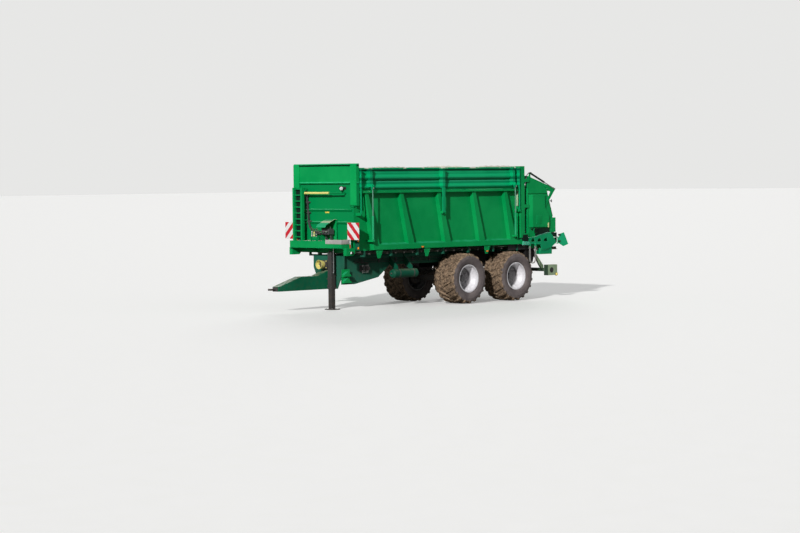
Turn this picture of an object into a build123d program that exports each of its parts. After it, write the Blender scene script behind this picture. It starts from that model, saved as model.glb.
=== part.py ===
from build123d import *
import os
from math import cos, hypot, pi, radians, sin, sqrt, tan

# Lime spreader: a towed tandem-axle trough body with a scraper floor, fold-down side boards,
# a sluice gate, two beaters and two spreading discs.
# Millimetres. +X points to the drawbar, +Y to the machine's left, +Z up, the ground is Z = 0.
# The origin is on the ground under the middle of the whole machine's box.

os.makedirs("parts", exist_ok=True)

# Reaches along the machine, from the middle between the two axles
eye_reach = 7250.0
eye_outer_radius = 70.0
front_wall_reach = 5190.0
rear_post_reach = 1500.0
disc_setback = 1380.0
disc_radius = 540.0
tail_reach = rear_post_reach + disc_setback + disc_radius
bogie_x = (tail_reach - eye_reach - eye_outer_radius) / 2
eye_x = bogie_x + eye_reach
wall_x = bogie_x + front_wall_reach
rear_post_x = bogie_x - rear_post_reach

# Clearances
seat_gap = 0.3
running_gap = 0.05
moving_gap = 6.0

# Wheels
axle_spacing = 1980.0
wheel_track = 2080.0
tyre_radius = 720.0
tyre_width = 790.0
sidewall_radius = 545.0
shoulder_radius = 648.0
lug_height = 38.0
lug_count = 20
lug_width = 62.0
lug_angle = 24.0
lug_middle_y = 200.0
lug_inner_end = 155.0
lug_outer_end = 128.0
lug_shoulder_end = 180.0
rim_flange_radius = 398.0
rim_seat_radius = 380.0
rim_well_radius = 335.0
rim_width = 700.0
rim_plate = 14.0
hub_radius = 150.0
hub_cap_radius = 90.0
hub_face_y = 50.0
nut_circle_radius = 205.0
nut_count = 10
nut_radius = 21.0
nut_height = 24.0

# Axles and springs
axle_square = 140.0
axle_half_length = wheel_track / 2 - 110
spindle_radius = 55.0
spindle_end_y = wheel_track / 2 + 35
drum_radius = 200.0
drum_width = 180.0
spring_leaf_height = 40.0
spring_arch = 110.0
spring_seat_half = 70.0

# Trough body
body_half_width = 1275.0
skin_half_width = 1110.0
sheet = 6.0
floor_z = 1625.0
ledge_z = 3245.0
ledge_lip = 55.0
ledge_sheet = 8.0
front_top_z = 4000.0

# Bottom rail of a side wall, with the tabs under it
rail_bottom_z = 1635.0
rail_top_z = 1815.0
rail_bevel = 45.0
rail_half_width = 1240.0
rail_front_x = wall_x - 790.0
tab_fronts = (wall_x - 740.0, wall_x - 2590.0, rear_post_x + 1665.0)
tab_depth = 235.0
tab_plate = 12.0
tab_outer_y = 1207.0

# Side ribs: what each is measured from, and its front edge at the top and at the bottom
rib_rows = (
    (wall_x, -285.0, -590.0),
    (wall_x, -1617.0, -1935.0),
    (wall_x, -3100.0, -3385.0),
    (rear_post_x, 2174.0, 1905.0),
    (rear_post_x, 860.0, 600.0),
)
rib_top_width = 130.0
rib_bottom_width = 265.0
rib_half_width = 1235.0
rib_draft = 20.0

# Front wall
corner_post_width = 245.0
corner_post_depth = 60.0
corner_post_proud = 30.0
corner_post_foot_z = 2810.0
corner_foot_rise = 45.0
front_rim_height = 60.0
front_rim_proud = 75.0
front_panel_proud = 30.0
front_lip_proud = 62.0
front_lip_z = 3480.0
front_bead_heights = (2750.0, 2408.0)
front_bead_proud = 45.0
front_bead_inset = 60.0
chain_cover_length = 330.0
grab_bar_z = 3200.0
grab_bar_setoff = 190.0
grab_bar_radius = 22.0
grab_bar_right_y = -680.0
grab_bar_left_y = 860.0
grab_stay_inset = 40.0

# Floor chain
chain_offset = 480.0
chain_width = 40.0
chain_height = 20.0
chain_inner_radius = 40.0
chain_shaft_radius = 28.0
chain_front_inset = 210.0
chain_rear_overhang = 110.0
slat_pitch = 330.0
slat_side = 40.0
slat_half_width = 1050.0

# Chassis: heights of the lower edge, and how far behind the front end each lies
chassis_half_width = 545.0
chassis_beam_width = 90.0
chassis_top_z = 1492.0
chassis_bottom_z = 1180.0
chassis_nose_rows = ((0.0, 685.0), (440.0, 685.0), (1330.0, 845.0), (1780.0, chassis_bottom_z))
chassis_front_x = wall_x - 110.0
chassis_rear_x = rear_post_x - 550.0
chassis_tail_length = 250.0
chassis_tail_rise = 120.0
hanger_bottom_z = 960.0
hanger_top_half = 230.0
hanger_foot_half = 110.0
cross_member_count = 7
cross_member_width = 100.0
cross_member_height = 140.0
cross_member_z = 1340.0
bulkhead_plate = 30.0
bulkhead_half_width = 620.0
bulkhead_foot_half = 330.0
bulkhead_shoulder_z = 1150.0
bearer_count = 7
bearer_width = 60.0
bearer_foot_z = 1448.0
bearer_head = 44.0
bearer_leg = 48.0

# Drawbar: its upper edge, as distances behind the nose and heights
drawbar_half_width = 130.0
drawbar_bottom_z = 565.0
drawbar_root_z = 1120.0
drawbar_top_rows = ((0.0, 690.0), (810.0, 936.0), (1410.0, 936.0))
nose_x = eye_x - 190.0
eye_z = 622.0
eye_bore_radius = 25.0
eye_height = 50.0
eye_shank_half = 32.0
eye_flange_half = 90.0
eye_flange_height = 120.0
eye_flange_plate = 30.0

# Jack
jack_setoff = 140.0
jack_offset = 262.0
jack_tube_side = 150.0
jack_tube_wall = 8.0
jack_slide_gap = 0.5
jack_top_z = 1540.0
jack_bottom_z = 560.0
jack_leg_top_z = 1030.0
jack_foot_side = 300.0
jack_foot_plate = 24.0
jack_foot_shift = 20.0
jack_clamp_heights = (640.0, 840.0)

# Fold-down side boards
board_top_z = 3880.0
board_bottom_z = ledge_z + 12.0
board_inner_y = 1112.0
board_outer_y = 1150.0
board_step_y = 1166.0
board_swage_y = 1208.0
board_rim_y = 1196.0
board_rim_height = 46.0
board_end_gap = 14.0
# Swages pressed into the board: top edge, top and foot of the slope, foot of the nose
swage_rows = (
    (3760.0, 3690.0, 3600.0, 3562.0),
    (3508.0, 3420.0, 3346.0, 3320.0),
)
board_pivot_y = 1290.0
board_pivot_z = 2625.0
hinge_eye_radius = 32.0
hinge_pin_radius = 14.0
ear_plate = 12.0
arm_top_z = 3860.0
arm_outer_y = 1322.0
arm_inner_y = 1284.0
arm_foot_z = 3320.0
# Hinge arms: middle of the arm, its width and the face that its ears stand on
hinge_arm_rows = (
    (wall_x - 100.0, 24.0, skin_half_width),
    (wall_x - 3300.0, 90.0, rib_half_width),
    (rear_post_x + 255.0, 24.0, skin_half_width),
)
# Folding cylinders and the lifting arms that they push
fold_cylinder_xs = (wall_x - 500.0, rear_post_x + 475.0)
fold_eye_y = 1345.0
fold_eye_z = 3315.0
fold_base_z = 1890.0
fold_gland_z = 2565.0
fold_barrel_radius = 32.0
fold_rod_radius = 17.0
fold_eye_radius = 32.0
fold_eye_width = 40.0
fold_neck_half = 24.0
fold_neck_length = 50.0
lift_arm_width = 90.0

# Rear frame and sluice gate
rear_post_width = 190.0
rear_post_depth = 185.0
rear_post_top_z = 3900.0
rear_guide_depth = 60.0
rear_beam_height = 150.0
rear_beam_depth = 120.0
rear_head_width = 265.0
gate_thickness = 40.0
gate_top_z = 3330.0
gate_half_width = 1090.0
gate_bottom_z = floor_z + slat_side + 10.0
gate_rib_heights = (gate_bottom_z + 20, gate_bottom_z + 560, gate_bottom_z + 1100, gate_top_z - 50)
gate_rib_height = 50.0
gate_cylinder_y = 1180.0
gate_barrel_radius = 42.0
gate_rod_radius = 22.0
gate_barrel_bottom_z = 1790.0
gate_barrel_top_z = 3340.0
gate_eye_z = 3480.0
gate_arm_half = 30.0
gate_clamp_half = 20.0

# Spreader housing: distances are measured back from the rear posts
cheek_half_width = 1240.0
cheek_plate = 8.0
cheek_setback = 155.0
hood_front_z = 3620.0
hood_rear_setback = 950.0
hood_rear_z = 3370.0
cheek_rows = (
    (cheek_setback, hood_front_z), (hood_rear_setback, hood_rear_z), (1110.0, 2780.0), (1250.0, 2380.0),
    (1380.0, 2380.0), (1380.0, 1950.0), (1140.0, 1950.0), (1080.0, 2070.0), (275.0, 2070.0),
    (190.0, 1820.0), (cheek_setback, 1820.0),
)
# Drive cover on each cheek, with a bevel at its front
cover_rows = ((215.0, 3065.0), (860.0, 3065.0), (860.0, 2690.0), (1040.0, 2450.0), (1040.0, 2115.0),
              (215.0, 2115.0))
cover_half_width = 1300.0
cover_bevel_length = 110.0
cheek_rib_heights = (3100.0, 3230.0)
cheek_rib_setback = 990.0
cheek_rib_proud = 24.0
cheek_foot_heights = (1850.0, 2690.0, 3440.0)
cheek_foot_height = 90.0
# Feed chute between the floor chain and the discs: side deflectors and a sloping floor
deflector_rows = ((1240.0, 2110.0), (1120.0, 1500.0), (1112.0, 1500.0), (1232.0, 2110.0))
deflector_front = 300.0
deflector_rear = 1340.0
deflector_hole_margin = 12.0
chute_rows = ((240.0, 1620.0), (815.0, 1508.0), (815.0, 1500.0), (240.0, 1612.0))
chute_half_width = 1134.0
# Strip that closes the gap between the rear posts and the cheeks
strip_front = 75.0
strip_inner_y = 1114.0
strip_plate = 6.0
strip_bottom_z = 1900.0
strip_top_z = 3300.0
beater_setback = 490.0
beater_heights = (2010.0, 2730.0)
beater_drum_radius = 110.0
beater_tip_radius = 315.0
beater_half_length = 1150.0
beater_shaft_radius = 35.0
beater_boss_radius = 95.0
beater_boss_proud = 28.0
paddle_rows = 13
paddle_pitch = 176.0
paddle_twist = 48.0
paddle_width = 84.0
paddle_plate = 16.0
paddle_slant = 20.0

# Rear flap with its levers and cylinders
flap_pivot_setback = 925.0
flap_pivot_z = 3325.0
flap_pin_radius = 22.0
flap_top_z = 3340.0
flap_foot_setback = 1300.0
flap_foot_z = 2420.0
flap_half_width = 1200.0
flap_tube_setback = 1070.0
flap_tube_z = 3190.0
flap_tube_radius = 25.0
flap_eye_setback = 1300.0
flap_eye_z = 3225.0
flap_base_setback = 260.0
flap_base_z = 3690.0
flap_cylinder_y = 1275.0
flap_barrel_radius = 28.0
flap_barrel_length = 640.0
flap_rod_radius = 14.0
flap_base_eye_radius = 34.0
flap_rod_eye_radius = 24.0
flap_small_pin_radius = 11.0
lever_plate = 12.0

# Disc table, measured back from the rear posts
disc_offset = 585.0
disc_z = 1440.0
disc_plate = 8.0
disc_hub_radius = 90.0
disc_hub_height = 40.0
disc_shaft_radius = 30.0
disc_gearbox_radius = 120.0
vane_height = 72.0
vane_count = 4
vane_plate = 8.0
table_bottom_z = 1310.0
table_beam_top_z = 1490.0
table_beam_front = 700.0
table_beam_rear = 1210.0
cross_beam_setback = 750.0
cross_beam_half = 40.0
cross_beam_height = 110.0
bracket_plate = 24.0
bracket_rows = (
    (20.0, 1815.0), (170.0, 1800.0), (1130.0, 1940.0), (1400.0, 1650.0), (1170.0, 1510.0), (950.0, 1440.0),
    (750.0, 1440.0), (700.0, 1600.0), (20.0, 1640.0),
)
bracket_slot_fronts = (260.0, 540.0, 820.0)
bracket_slot_length = 190.0
wing_pin_setback = 1425.0
wing_pin_y = cheek_half_width + 36.0
wing_pin_radius = 12.0
wing_plate = 8.0
# Lugs of the wing hinge: height and how far back each begins
wing_lug_rows = ((1610.0, 1290.0), (1790.0, 1240.0))
wing_rows = ((1465.0, 1782.0), (1550.0, 1900.0), (1710.0, 1930.0), (1900.0, 1580.0), (1680.0, 1520.0))

# Light bar, measured back from the rear posts
light_bar_setback = 1110.0
light_bar_side = 100.0
light_bar_z = 840.0
light_bar_half_length = 1050.0
hanger_rows = ((730.0, 0.0), (830.0, 0.0), (1140.0, 960.0), (1140.0, 850.0), (1070.0, 850.0))
lamp_box_front = 1075.0
lamp_box_length = 410.0
lamp_box_height = 312.0
lamp_box_width = 160.0
lamp_box_outer_y = 1200.0
lamp_pocket_depth = 170.0
lamp_wall = 10.0
lamp_hole_radius = 78.0

# Front platform, ladder, warning plates and valve hood
platform_depth = 410.0
platform_top_z = 1892.0
platform_sheet = 8.0
platform_skirt_z = 1700.0
platform_back_z = 1560.0
platform_half_width = 1050.0
kick_plate = 6.0
kick_right_y = 420.0
kick_rear_gap = 60.0
kick_heights = (1822.0, 1926.0)
platform_rib_ys = (-1050.0, -350.0, 350.0, 1040.0)
platform_rib_plate = 10.0
carrier_inner_y = 1040.0
carrier_outer_y = 1160.0
carrier_bottom_z = 1500.0
carrier_length = 330.0
warning_side = 465.0
warning_outer_y = 1500.0
warning_bottom_z = 1930.0
warning_setoff = 170.0
warning_plate = 3.0
ladder_setoff = 270.0
ladder_left_y = -690.0
ladder_right_y = -1080.0
ladder_rail_width = 65.0
ladder_rail_depth = 90.0
ladder_top_z = 3350.0
rung_count = 9
rung_pitch = 165.0
rung_first_z = 1990.0
rung_depth = 60.0
rung_height = 26.0
ladder_stay_heights = (2440.0, 3300.0)
hood_right_y = 130.0
hood_left_y = 480.0
hood_sheet = 8.0
# Outline of the hood: distance ahead of the front wall and height above the platform
hood_rows = ((50.0, 0.0), (50.0, 578.0), (140.0, 588.0), (450.0, 438.0), (490.0, 378.0), (490.0, 188.0),
             (290.0, 0.0))

# Valve block under the hood, and the rack on which the supply hoses are parked
hood_mouth_front = 300.0
hood_mouth_top = 370.0
valve_setoff = 130.0
valve_rise = 180.0
valve_length = 190.0
valve_height = 150.0
port_length = 50.0
port_radius = 20.0
supply_hose_count = 3
supply_hose_radius = 7.5
# How the supply hoses leave their straight ends: towards the front, and down from above
hose_stub = 90.0
arch_out = (200.0, -120.0, 0.0)
arch_over = (60.0, 60.0, 150.0)
rack_setoff = 350.0
rack_left_y = 10.0
rack_right_y = -230.0
rack_height = 108.0
rack_plate = 8.0
coupler_radius = 17.0
coupler_height = 90.0

# Hoses that hang in a loop under the bracket of the disc table: how far back and how high each point lies
table_hose_radius = 10.5
table_hose_ys = (1252.0, 1290.0)
table_hose_start = 210.0
table_hose_rows = (
    (0.0, 1560.0), (0.0, 1460.0), (-6.0, 1352.0), (-5.0, 1248.0), (2.0, 1148.0), (33.5, 1092.2),
    (88.3, 1060.0),
    (151.7, 1060.0), (206.5, 1092.2), (238.0, 1148.0), (245.0, 1248.0), (246.0, 1352.0), (240.0, 1460.0),
    (240.0, 1560.0),
)
ferrule_radius = 15.0

# Input gearbox and its stub
input_z = 1240.0
gearbox_half = 110.0
gearbox_half_width = 130.0
gearbox_length = 200.0
gearbox_neck_radius = 95.0
gearbox_neck_length = 60.0
stub_collar_radius = 30.0
stub_collar_depth = 120.0
stub_radius = 17.4
stub_length = 80.0

# Air tank and wheel chocks
tank_y = 850.0
tank_z = 940.0
tank_radius = 124.0
tank_front_reach = 3521.0
tank_length = 970.0
tank_bracket_inset = 200.0
tank_bracket_plate = 12.0
chock_plate_y = 640.0
chock_width = 100.0
chock_heights = (740.0, 916.0)


def at(reach):
    """X of a point given from the middle of the bogie."""
    return bogie_x + reach


def behind(setback):
    """X of a point given as a distance back from the rear posts."""
    return rear_post_x - setback


def span(sign, inner, outer):
    """Y limits, low then high, of what lies between two distances from the centre line on one side."""
    return (inner, outer) if sign > 0 else (-outer, -inner)


def side_plate(outline, y_low, y_high, mode=Mode.ADD):
    """A plate drawn in side view (X, Z) that fills the space between two Y values."""
    with BuildSketch(Plane.XZ.offset(-y_high)) as profile:
        with BuildLine():
            Polyline(*outline, close=True)
        make_face()
    extrude(profile.sketch, amount=y_high - y_low, mode=mode)


def cross_plate(outline, x_low, x_high, mode=Mode.ADD):
    """A plate or bar drawn in end view (Y, Z) that fills the space between two X values."""
    with BuildSketch(Plane.YZ.offset(x_low)) as profile:
        with BuildLine():
            Polyline(*outline, close=True)
        make_face()
    extrude(profile.sketch, amount=x_high - x_low, mode=mode)


def block(x_low, x_high, y_low, y_high, z_low, z_high, mode=Mode.ADD):
    """A straight bar or plate between pairs of X, Y and Z values."""
    middle = ((x_low + x_high) / 2, (y_low + y_high) / 2, (z_low + z_high) / 2)
    with Locations(middle):
        Box(x_high - x_low, y_high - y_low, z_high - z_low, mode=mode)


def bar_y(x, z, radius, y_low, y_high, mode=Mode.ADD):
    """A round bar or hole along Y."""
    with BuildSketch(Plane.XZ.offset(-y_high)) as profile:
        with Locations((x, z)):
            Circle(radius)
    extrude(profile.sketch, amount=y_high - y_low, mode=mode)


def bar_x(y, z, radius, x_low, x_high, mode=Mode.ADD):
    """A round bar or hole along X."""
    with BuildSketch(Plane.YZ.offset(x_low)) as profile:
        with Locations((y, z)):
            Circle(radius)
    extrude(profile.sketch, amount=x_high - x_low, mode=mode)


def bar_z(x, y, radius, z_low, z_high, mode=Mode.ADD):
    """A round bar or hole along Z."""
    with BuildSketch(Plane.XY.offset(z_low)) as profile:
        with Locations((x, y)):
            Circle(radius)
    extrude(profile.sketch, amount=z_high - z_low, mode=mode)


def spread(first, last, count):
    """Evenly spaced values from the first to the last."""
    return [first + (last - first) * number / (count - 1) for number in range(count)]


def arch_route(start, end):
    """Route points of a hose that leaves forward, arches over and comes down on its end."""
    first = start + Vector(hose_stub, 0, 0)
    last = end + Vector(0, 0, hose_stub)
    out = first + Vector(*arch_out)
    over = last + Vector(*arch_over)
    points = [start]
    for t in spread(0, 1, 6):
        rising = first * (1 - t) ** 3 + out * 3 * t * (1 - t) ** 2
        falling = over * 3 * t**2 * (1 - t) + last * t**3
        points.append(rising + falling)
    return points + [end]


def hose_tube(points, radius, name):
    """A tube of straight runs joined by the largest arcs that the runs allow."""
    radii = []
    for before, here, after in zip(points, points[1:], points[2:]):
        turn = radians((here - before).get_angle(after - here))
        shorter = min((here - before).length, (after - here).length)
        radii.append(0.45 * shorter / tan(turn / 2))
    with BuildLine() as path:
        FilletPolyline(*points, radius=radii)
    with BuildPart() as hose:
        with BuildSketch(Plane(origin=points[0], z_dir=points[1] - points[0])):
            Circle(radius)
        sweep(path=path.wires()[0])
    length = path.wires()[0].length
    print(name, "length", round(length), "least radius", round(min(radii)), "diameter", 2 * radius,
          "volume ratio", round(hose.part.volume / (pi * radius**2 * length), 4))
    return hose.part


def write(part, name):
    """Label a finished piece and save it."""
    part.label = name
    export_step(part, "parts/" + name + ".step")


sides = (("left", 1), ("right", -1))

# Chassis: two deep long beams with the hangers of the rocking springs
chassis_inner_y = chassis_half_width - chassis_beam_width
chassis_outline = [(chassis_rear_x, chassis_top_z), (chassis_front_x, chassis_top_z)]
chassis_outline += [(chassis_front_x - back, z) for back, z in chassis_nose_rows]
chassis_outline += [
    (chassis_rear_x + chassis_tail_length, chassis_bottom_z),
    (chassis_rear_x, chassis_bottom_z + chassis_tail_rise),
]
hanger_outline = [
    (at(-hanger_top_half), chassis_bottom_z + 10), (at(hanger_top_half), chassis_bottom_z + 10),
    (at(hanger_foot_half), hanger_bottom_z), (at(-hanger_foot_half), hanger_bottom_z),
]
with BuildPart() as chassis:
    for side, sign in sides:
        beam_y = span(sign, chassis_inner_y, chassis_half_width)
        side_plate(chassis_outline, *beam_y)
        side_plate(hanger_outline, *beam_y)
write(chassis.part, "chassis_frame")

# Cross members between the beams, and the bulkhead that the drawbar is welded against
drawbar_rear_x = chassis_front_x + bulkhead_plate
with BuildPart() as cross_members:
    for x in spread(chassis_rear_x + 100, chassis_front_x - 520, cross_member_count):
        block(x - cross_member_width / 2, x + cross_member_width / 2, -chassis_inner_y, chassis_inner_y,
              cross_member_z - cross_member_height / 2, cross_member_z + cross_member_height / 2)
    cross_plate(
        [(-bulkhead_half_width, chassis_top_z), (bulkhead_half_width, chassis_top_z),
         (bulkhead_half_width, bulkhead_shoulder_z), (bulkhead_foot_half, drawbar_bottom_z),
         (-bulkhead_foot_half, drawbar_bottom_z), (-bulkhead_half_width, bulkhead_shoulder_z)],
        chassis_front_x,
        drawbar_rear_x,
    )
write(cross_members.part, "cross_members")

# Floor bearers: arches over the returning floor chain, footed on the outer faces of the beams
bearer_top_z = floor_z - sheet
bearer_half_outline = [
    (skin_half_width, bearer_top_z), (skin_half_width, bearer_foot_z), (chassis_half_width, bearer_foot_z),
    (chassis_half_width, chassis_top_z), (skin_half_width - bearer_leg, chassis_top_z),
    (skin_half_width - bearer_leg, bearer_top_z - bearer_head),
]
bearer_outline = bearer_half_outline + [(-y, z) for y, z in reversed(bearer_half_outline)]
with BuildPart() as bearers:
    for x in spread(rear_post_x + 150, wall_x - 390, bearer_count):
        cross_plate(bearer_outline, x - bearer_width / 2, x + bearer_width / 2)
write(bearers.part, "floor_bearers")

# Drawbar: a tapering box beam on the centre line
with BuildPart() as drawbar:
    side_plate(
        [(drawbar_rear_x, drawbar_bottom_z), (nose_x, drawbar_bottom_z)]
        + [(nose_x - back, z) for back, z in drawbar_top_rows]
        + [(drawbar_rear_x, drawbar_root_z)],
        -drawbar_half_width,
        drawbar_half_width,
    )
write(drawbar.part, "drawbar")

# Coupling eye, bolted to the drawbar's nose
with BuildPart() as eye:
    flange_front_x = nose_x + eye_flange_plate
    bar_z(eye_x, 0, eye_outer_radius, eye_z - eye_height / 2, eye_z + eye_height / 2)
    block(flange_front_x, eye_x - eye_bore_radius - 20, -eye_shank_half, eye_shank_half,
          eye_z - eye_height / 2, eye_z + eye_height / 2)
    block(nose_x, flange_front_x, -eye_flange_half, eye_flange_half, drawbar_bottom_z,
          drawbar_bottom_z + eye_flange_height)
    bar_z(eye_x, 0, eye_bore_radius, eye_z - eye_height, eye_z + eye_height, mode=Mode.SUBTRACT)
write(eye.part, "coupling_eye")

# Trough floor, open at both ends where the floor chain goes round its shafts
skin_inner_y = skin_half_width - sheet
with BuildPart() as floor:
    block(rear_post_x - 20, wall_x - 300, -skin_inner_y, skin_inner_y, floor_z - sheet, floor_z)
write(floor.part, "body_floor")

# Floor chain: two endless chains and their slats around a front and a rear shaft
chain_front_x = wall_x - chain_front_inset
chain_rear_x = rear_post_x - chain_rear_overhang
chain_middle_z = floor_z + seat_gap - chain_inner_radius
slat_rise = floor_z + seat_gap + slat_side / 2 - chain_middle_z
slat_total = int((chain_front_x - chain_rear_x - 300) // slat_pitch)
with BuildPart() as floor_chain:
    for side, sign in sides:
        y = sign * chain_offset
        with BuildSketch(Plane.XZ.offset(-y - chain_width / 2)) as band:
            for radius, mode in ((chain_inner_radius + chain_height, Mode.ADD),
                                 (chain_inner_radius, Mode.SUBTRACT)):
                with Locations(((chain_front_x + chain_rear_x) / 2, chain_middle_z)):
                    SlotCenterToCenter(chain_front_x - chain_rear_x, 2 * radius, mode=mode)
        extrude(band.sketch, amount=chain_width)
        for shaft_x in (chain_front_x, chain_rear_x):
            bar_y(shaft_x, chain_middle_z, chain_inner_radius + 2, y - chain_width / 4, y + chain_width / 4)
    for shaft_x in (chain_front_x, chain_rear_x):
        bar_y(shaft_x, chain_middle_z, chain_shaft_radius, -skin_half_width - 20, skin_half_width + 20)
    slat_places = []
    for number in range(slat_total):
        x = chain_rear_x + 210 + number * slat_pitch
        slat_places.append((x, 0, chain_middle_z + slat_rise))
        slat_places.append((x, 0, chain_middle_z - slat_rise))
    with Locations(*slat_places):
        Box(slat_side, 2 * slat_half_width, slat_side)
write(floor_chain.part, "floor_chain")

# Front wall: corner posts, top rim, stepped upper panel, folded beads and the grab bar
post_inner_y = body_half_width - corner_post_width
post_rear_x = wall_x - corner_post_depth
with BuildPart() as front_wall:
    block(wall_x - sheet, wall_x, -skin_half_width, skin_half_width, floor_z - sheet, front_top_z)
    for side, sign in sides:
        cross_plate(
            [(sign * post_inner_y, corner_post_foot_z),
             (sign * body_half_width, corner_post_foot_z + corner_foot_rise),
             (sign * body_half_width, front_top_z), (sign * post_inner_y, front_top_z)],
            post_rear_x,
            wall_x + corner_post_proud,
        )
    side_plate(
        [(wall_x - sheet, front_top_z - front_rim_height), (wall_x + 20, front_top_z - front_rim_height),
         (wall_x + front_rim_proud, front_top_z - 40), (wall_x + front_rim_proud, front_top_z),
         (wall_x - 60, front_top_z), (wall_x - 60, front_top_z - 30), (wall_x - sheet, front_top_z - 30)],
        -post_inner_y,
        post_inner_y,
    )
    side_plate(
        [(wall_x, front_lip_z - 40), (wall_x + front_lip_proud, front_lip_z - 22),
         (wall_x + front_lip_proud, front_lip_z), (wall_x + front_panel_proud, front_lip_z + 14),
         (wall_x + front_panel_proud, front_top_z - front_rim_height),
         (wall_x, front_top_z - front_rim_height)],
        -post_inner_y,
        post_inner_y,
    )
    for bead_z in front_bead_heights:
        side_plate(
            [(wall_x, bead_z - 70), (wall_x + front_bead_proud, bead_z - 15),
             (wall_x + front_bead_proud, bead_z),
             (wall_x, bead_z + 12)],
            front_bead_inset - skin_half_width,
            skin_half_width - front_bead_inset,
        )
    # Sloping cover over the front shaft of the floor chain
    cover_foot_x = wall_x - chain_cover_length
    side_plate(
        [(wall_x - sheet, floor_z + 190), (cover_foot_x, floor_z + slat_side + 60),
         (cover_foot_x, floor_z + slat_side + 54), (wall_x - sheet, floor_z + 184)],
        10 - skin_inner_y,
        skin_inner_y - 10,
    )
    bar_y(wall_x + grab_bar_setoff, grab_bar_z, grab_bar_radius, grab_bar_right_y, grab_bar_left_y)
    for y in (grab_bar_right_y + grab_stay_inset, grab_bar_left_y - grab_stay_inset):
        block(wall_x, wall_x + grab_bar_setoff, y - 6, y + 6, grab_bar_z - 15, grab_bar_z + 15)
write(front_wall.part, "front_wall")

# Side walls: skin, ledge, slanting box ribs, bottom rail, tabs, hinge ears and clevises
skin_rear_x = rear_post_x + rear_post_depth
notch_z = corner_post_foot_z - 12
for side, sign in sides:
    with BuildPart() as wall:
        side_plate(
            [(skin_rear_x, floor_z - sheet), (wall_x - sheet, floor_z - sheet), (wall_x - sheet, notch_z),
             (post_rear_x, notch_z), (post_rear_x, ledge_z), (skin_rear_x, ledge_z)],
            *span(sign, skin_inner_y, skin_half_width),
        )
        ledge_outline = [
            (skin_half_width, ledge_z), (body_half_width, ledge_z), (body_half_width, ledge_z - ledge_lip),
            (body_half_width - ledge_sheet, ledge_z - ledge_lip),
            (body_half_width - ledge_sheet, ledge_z - ledge_sheet),
            (skin_half_width, ledge_z - ledge_sheet),
        ]
        cross_plate([(sign * y, z) for y, z in ledge_outline], skin_rear_x, post_rear_x)
        cross_plate(
            [(sign * skin_half_width, rail_bottom_z), (sign * rail_half_width, rail_bottom_z),
             (sign * rail_half_width, rail_top_z - rail_bevel), (sign * skin_half_width, rail_top_z)],
            rear_post_x,
            rail_front_x,
        )
        for start_x, top_front, bottom_front in rib_rows:
            slant = (top_front - bottom_front) / (ledge_z - rail_top_z)
            foot_front = bottom_front - slant * (rail_top_z - rail_bottom_z)
            for z, front, width in (
                (rail_bottom_z, start_x + foot_front, rib_bottom_width),
                (ledge_z - ledge_sheet, start_x + top_front, rib_top_width),
            ):
                with BuildSketch(Plane.XY.offset(z)):
                    with BuildLine():
                        Polyline(
                            (front, sign * (skin_half_width - 1)),
                            (front - rib_draft, sign * rib_half_width),
                            (front - width, sign * rib_half_width),
                            (front - width - rib_draft, sign * (skin_half_width - 1)),
                            close=True,
                        )
                    make_face()
            loft(ruled=True)
        for front in tab_fronts:
            side_plate(
                [(front, rail_bottom_z), (front - 60, rail_bottom_z - tab_depth),
                 (front - 150, rail_bottom_z - tab_depth), (front - 270, rail_bottom_z)],
                *span(sign, tab_outer_y - tab_plate, tab_outer_y),
            )
        # Ears and pins that carry the hinge arms of the side board
        for x, width, seat_y in hinge_arm_rows:
            half = width / 2 + moving_gap
            ear_y = span(sign, seat_y - 3, board_pivot_y + hinge_eye_radius)
            for ear_x in (x - half - ear_plate, x + half):
                block(ear_x, ear_x + ear_plate, *ear_y, board_pivot_z - 45, board_pivot_z + 30)
            bar_x(sign * board_pivot_y, board_pivot_z, hinge_pin_radius, x - half - ear_plate,
                  x + half + ear_plate)
        # Clevises of the folding cylinders
        for x in fold_cylinder_xs:
            half = fold_eye_width / 2 + seat_gap
            clevis_y = span(sign, skin_half_width - 1, fold_eye_y + fold_eye_radius)
            for clevis_x in (x - half - ear_plate, x + half):
                block(clevis_x, clevis_x + ear_plate, *clevis_y, fold_base_z - fold_eye_radius,
                      fold_base_z + 20)
            bar_x(sign * fold_eye_y, fold_base_z, hinge_pin_radius, x - half - ear_plate,
                  x + half + ear_plate)
    write(wall.part, "side_wall_" + side)

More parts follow.
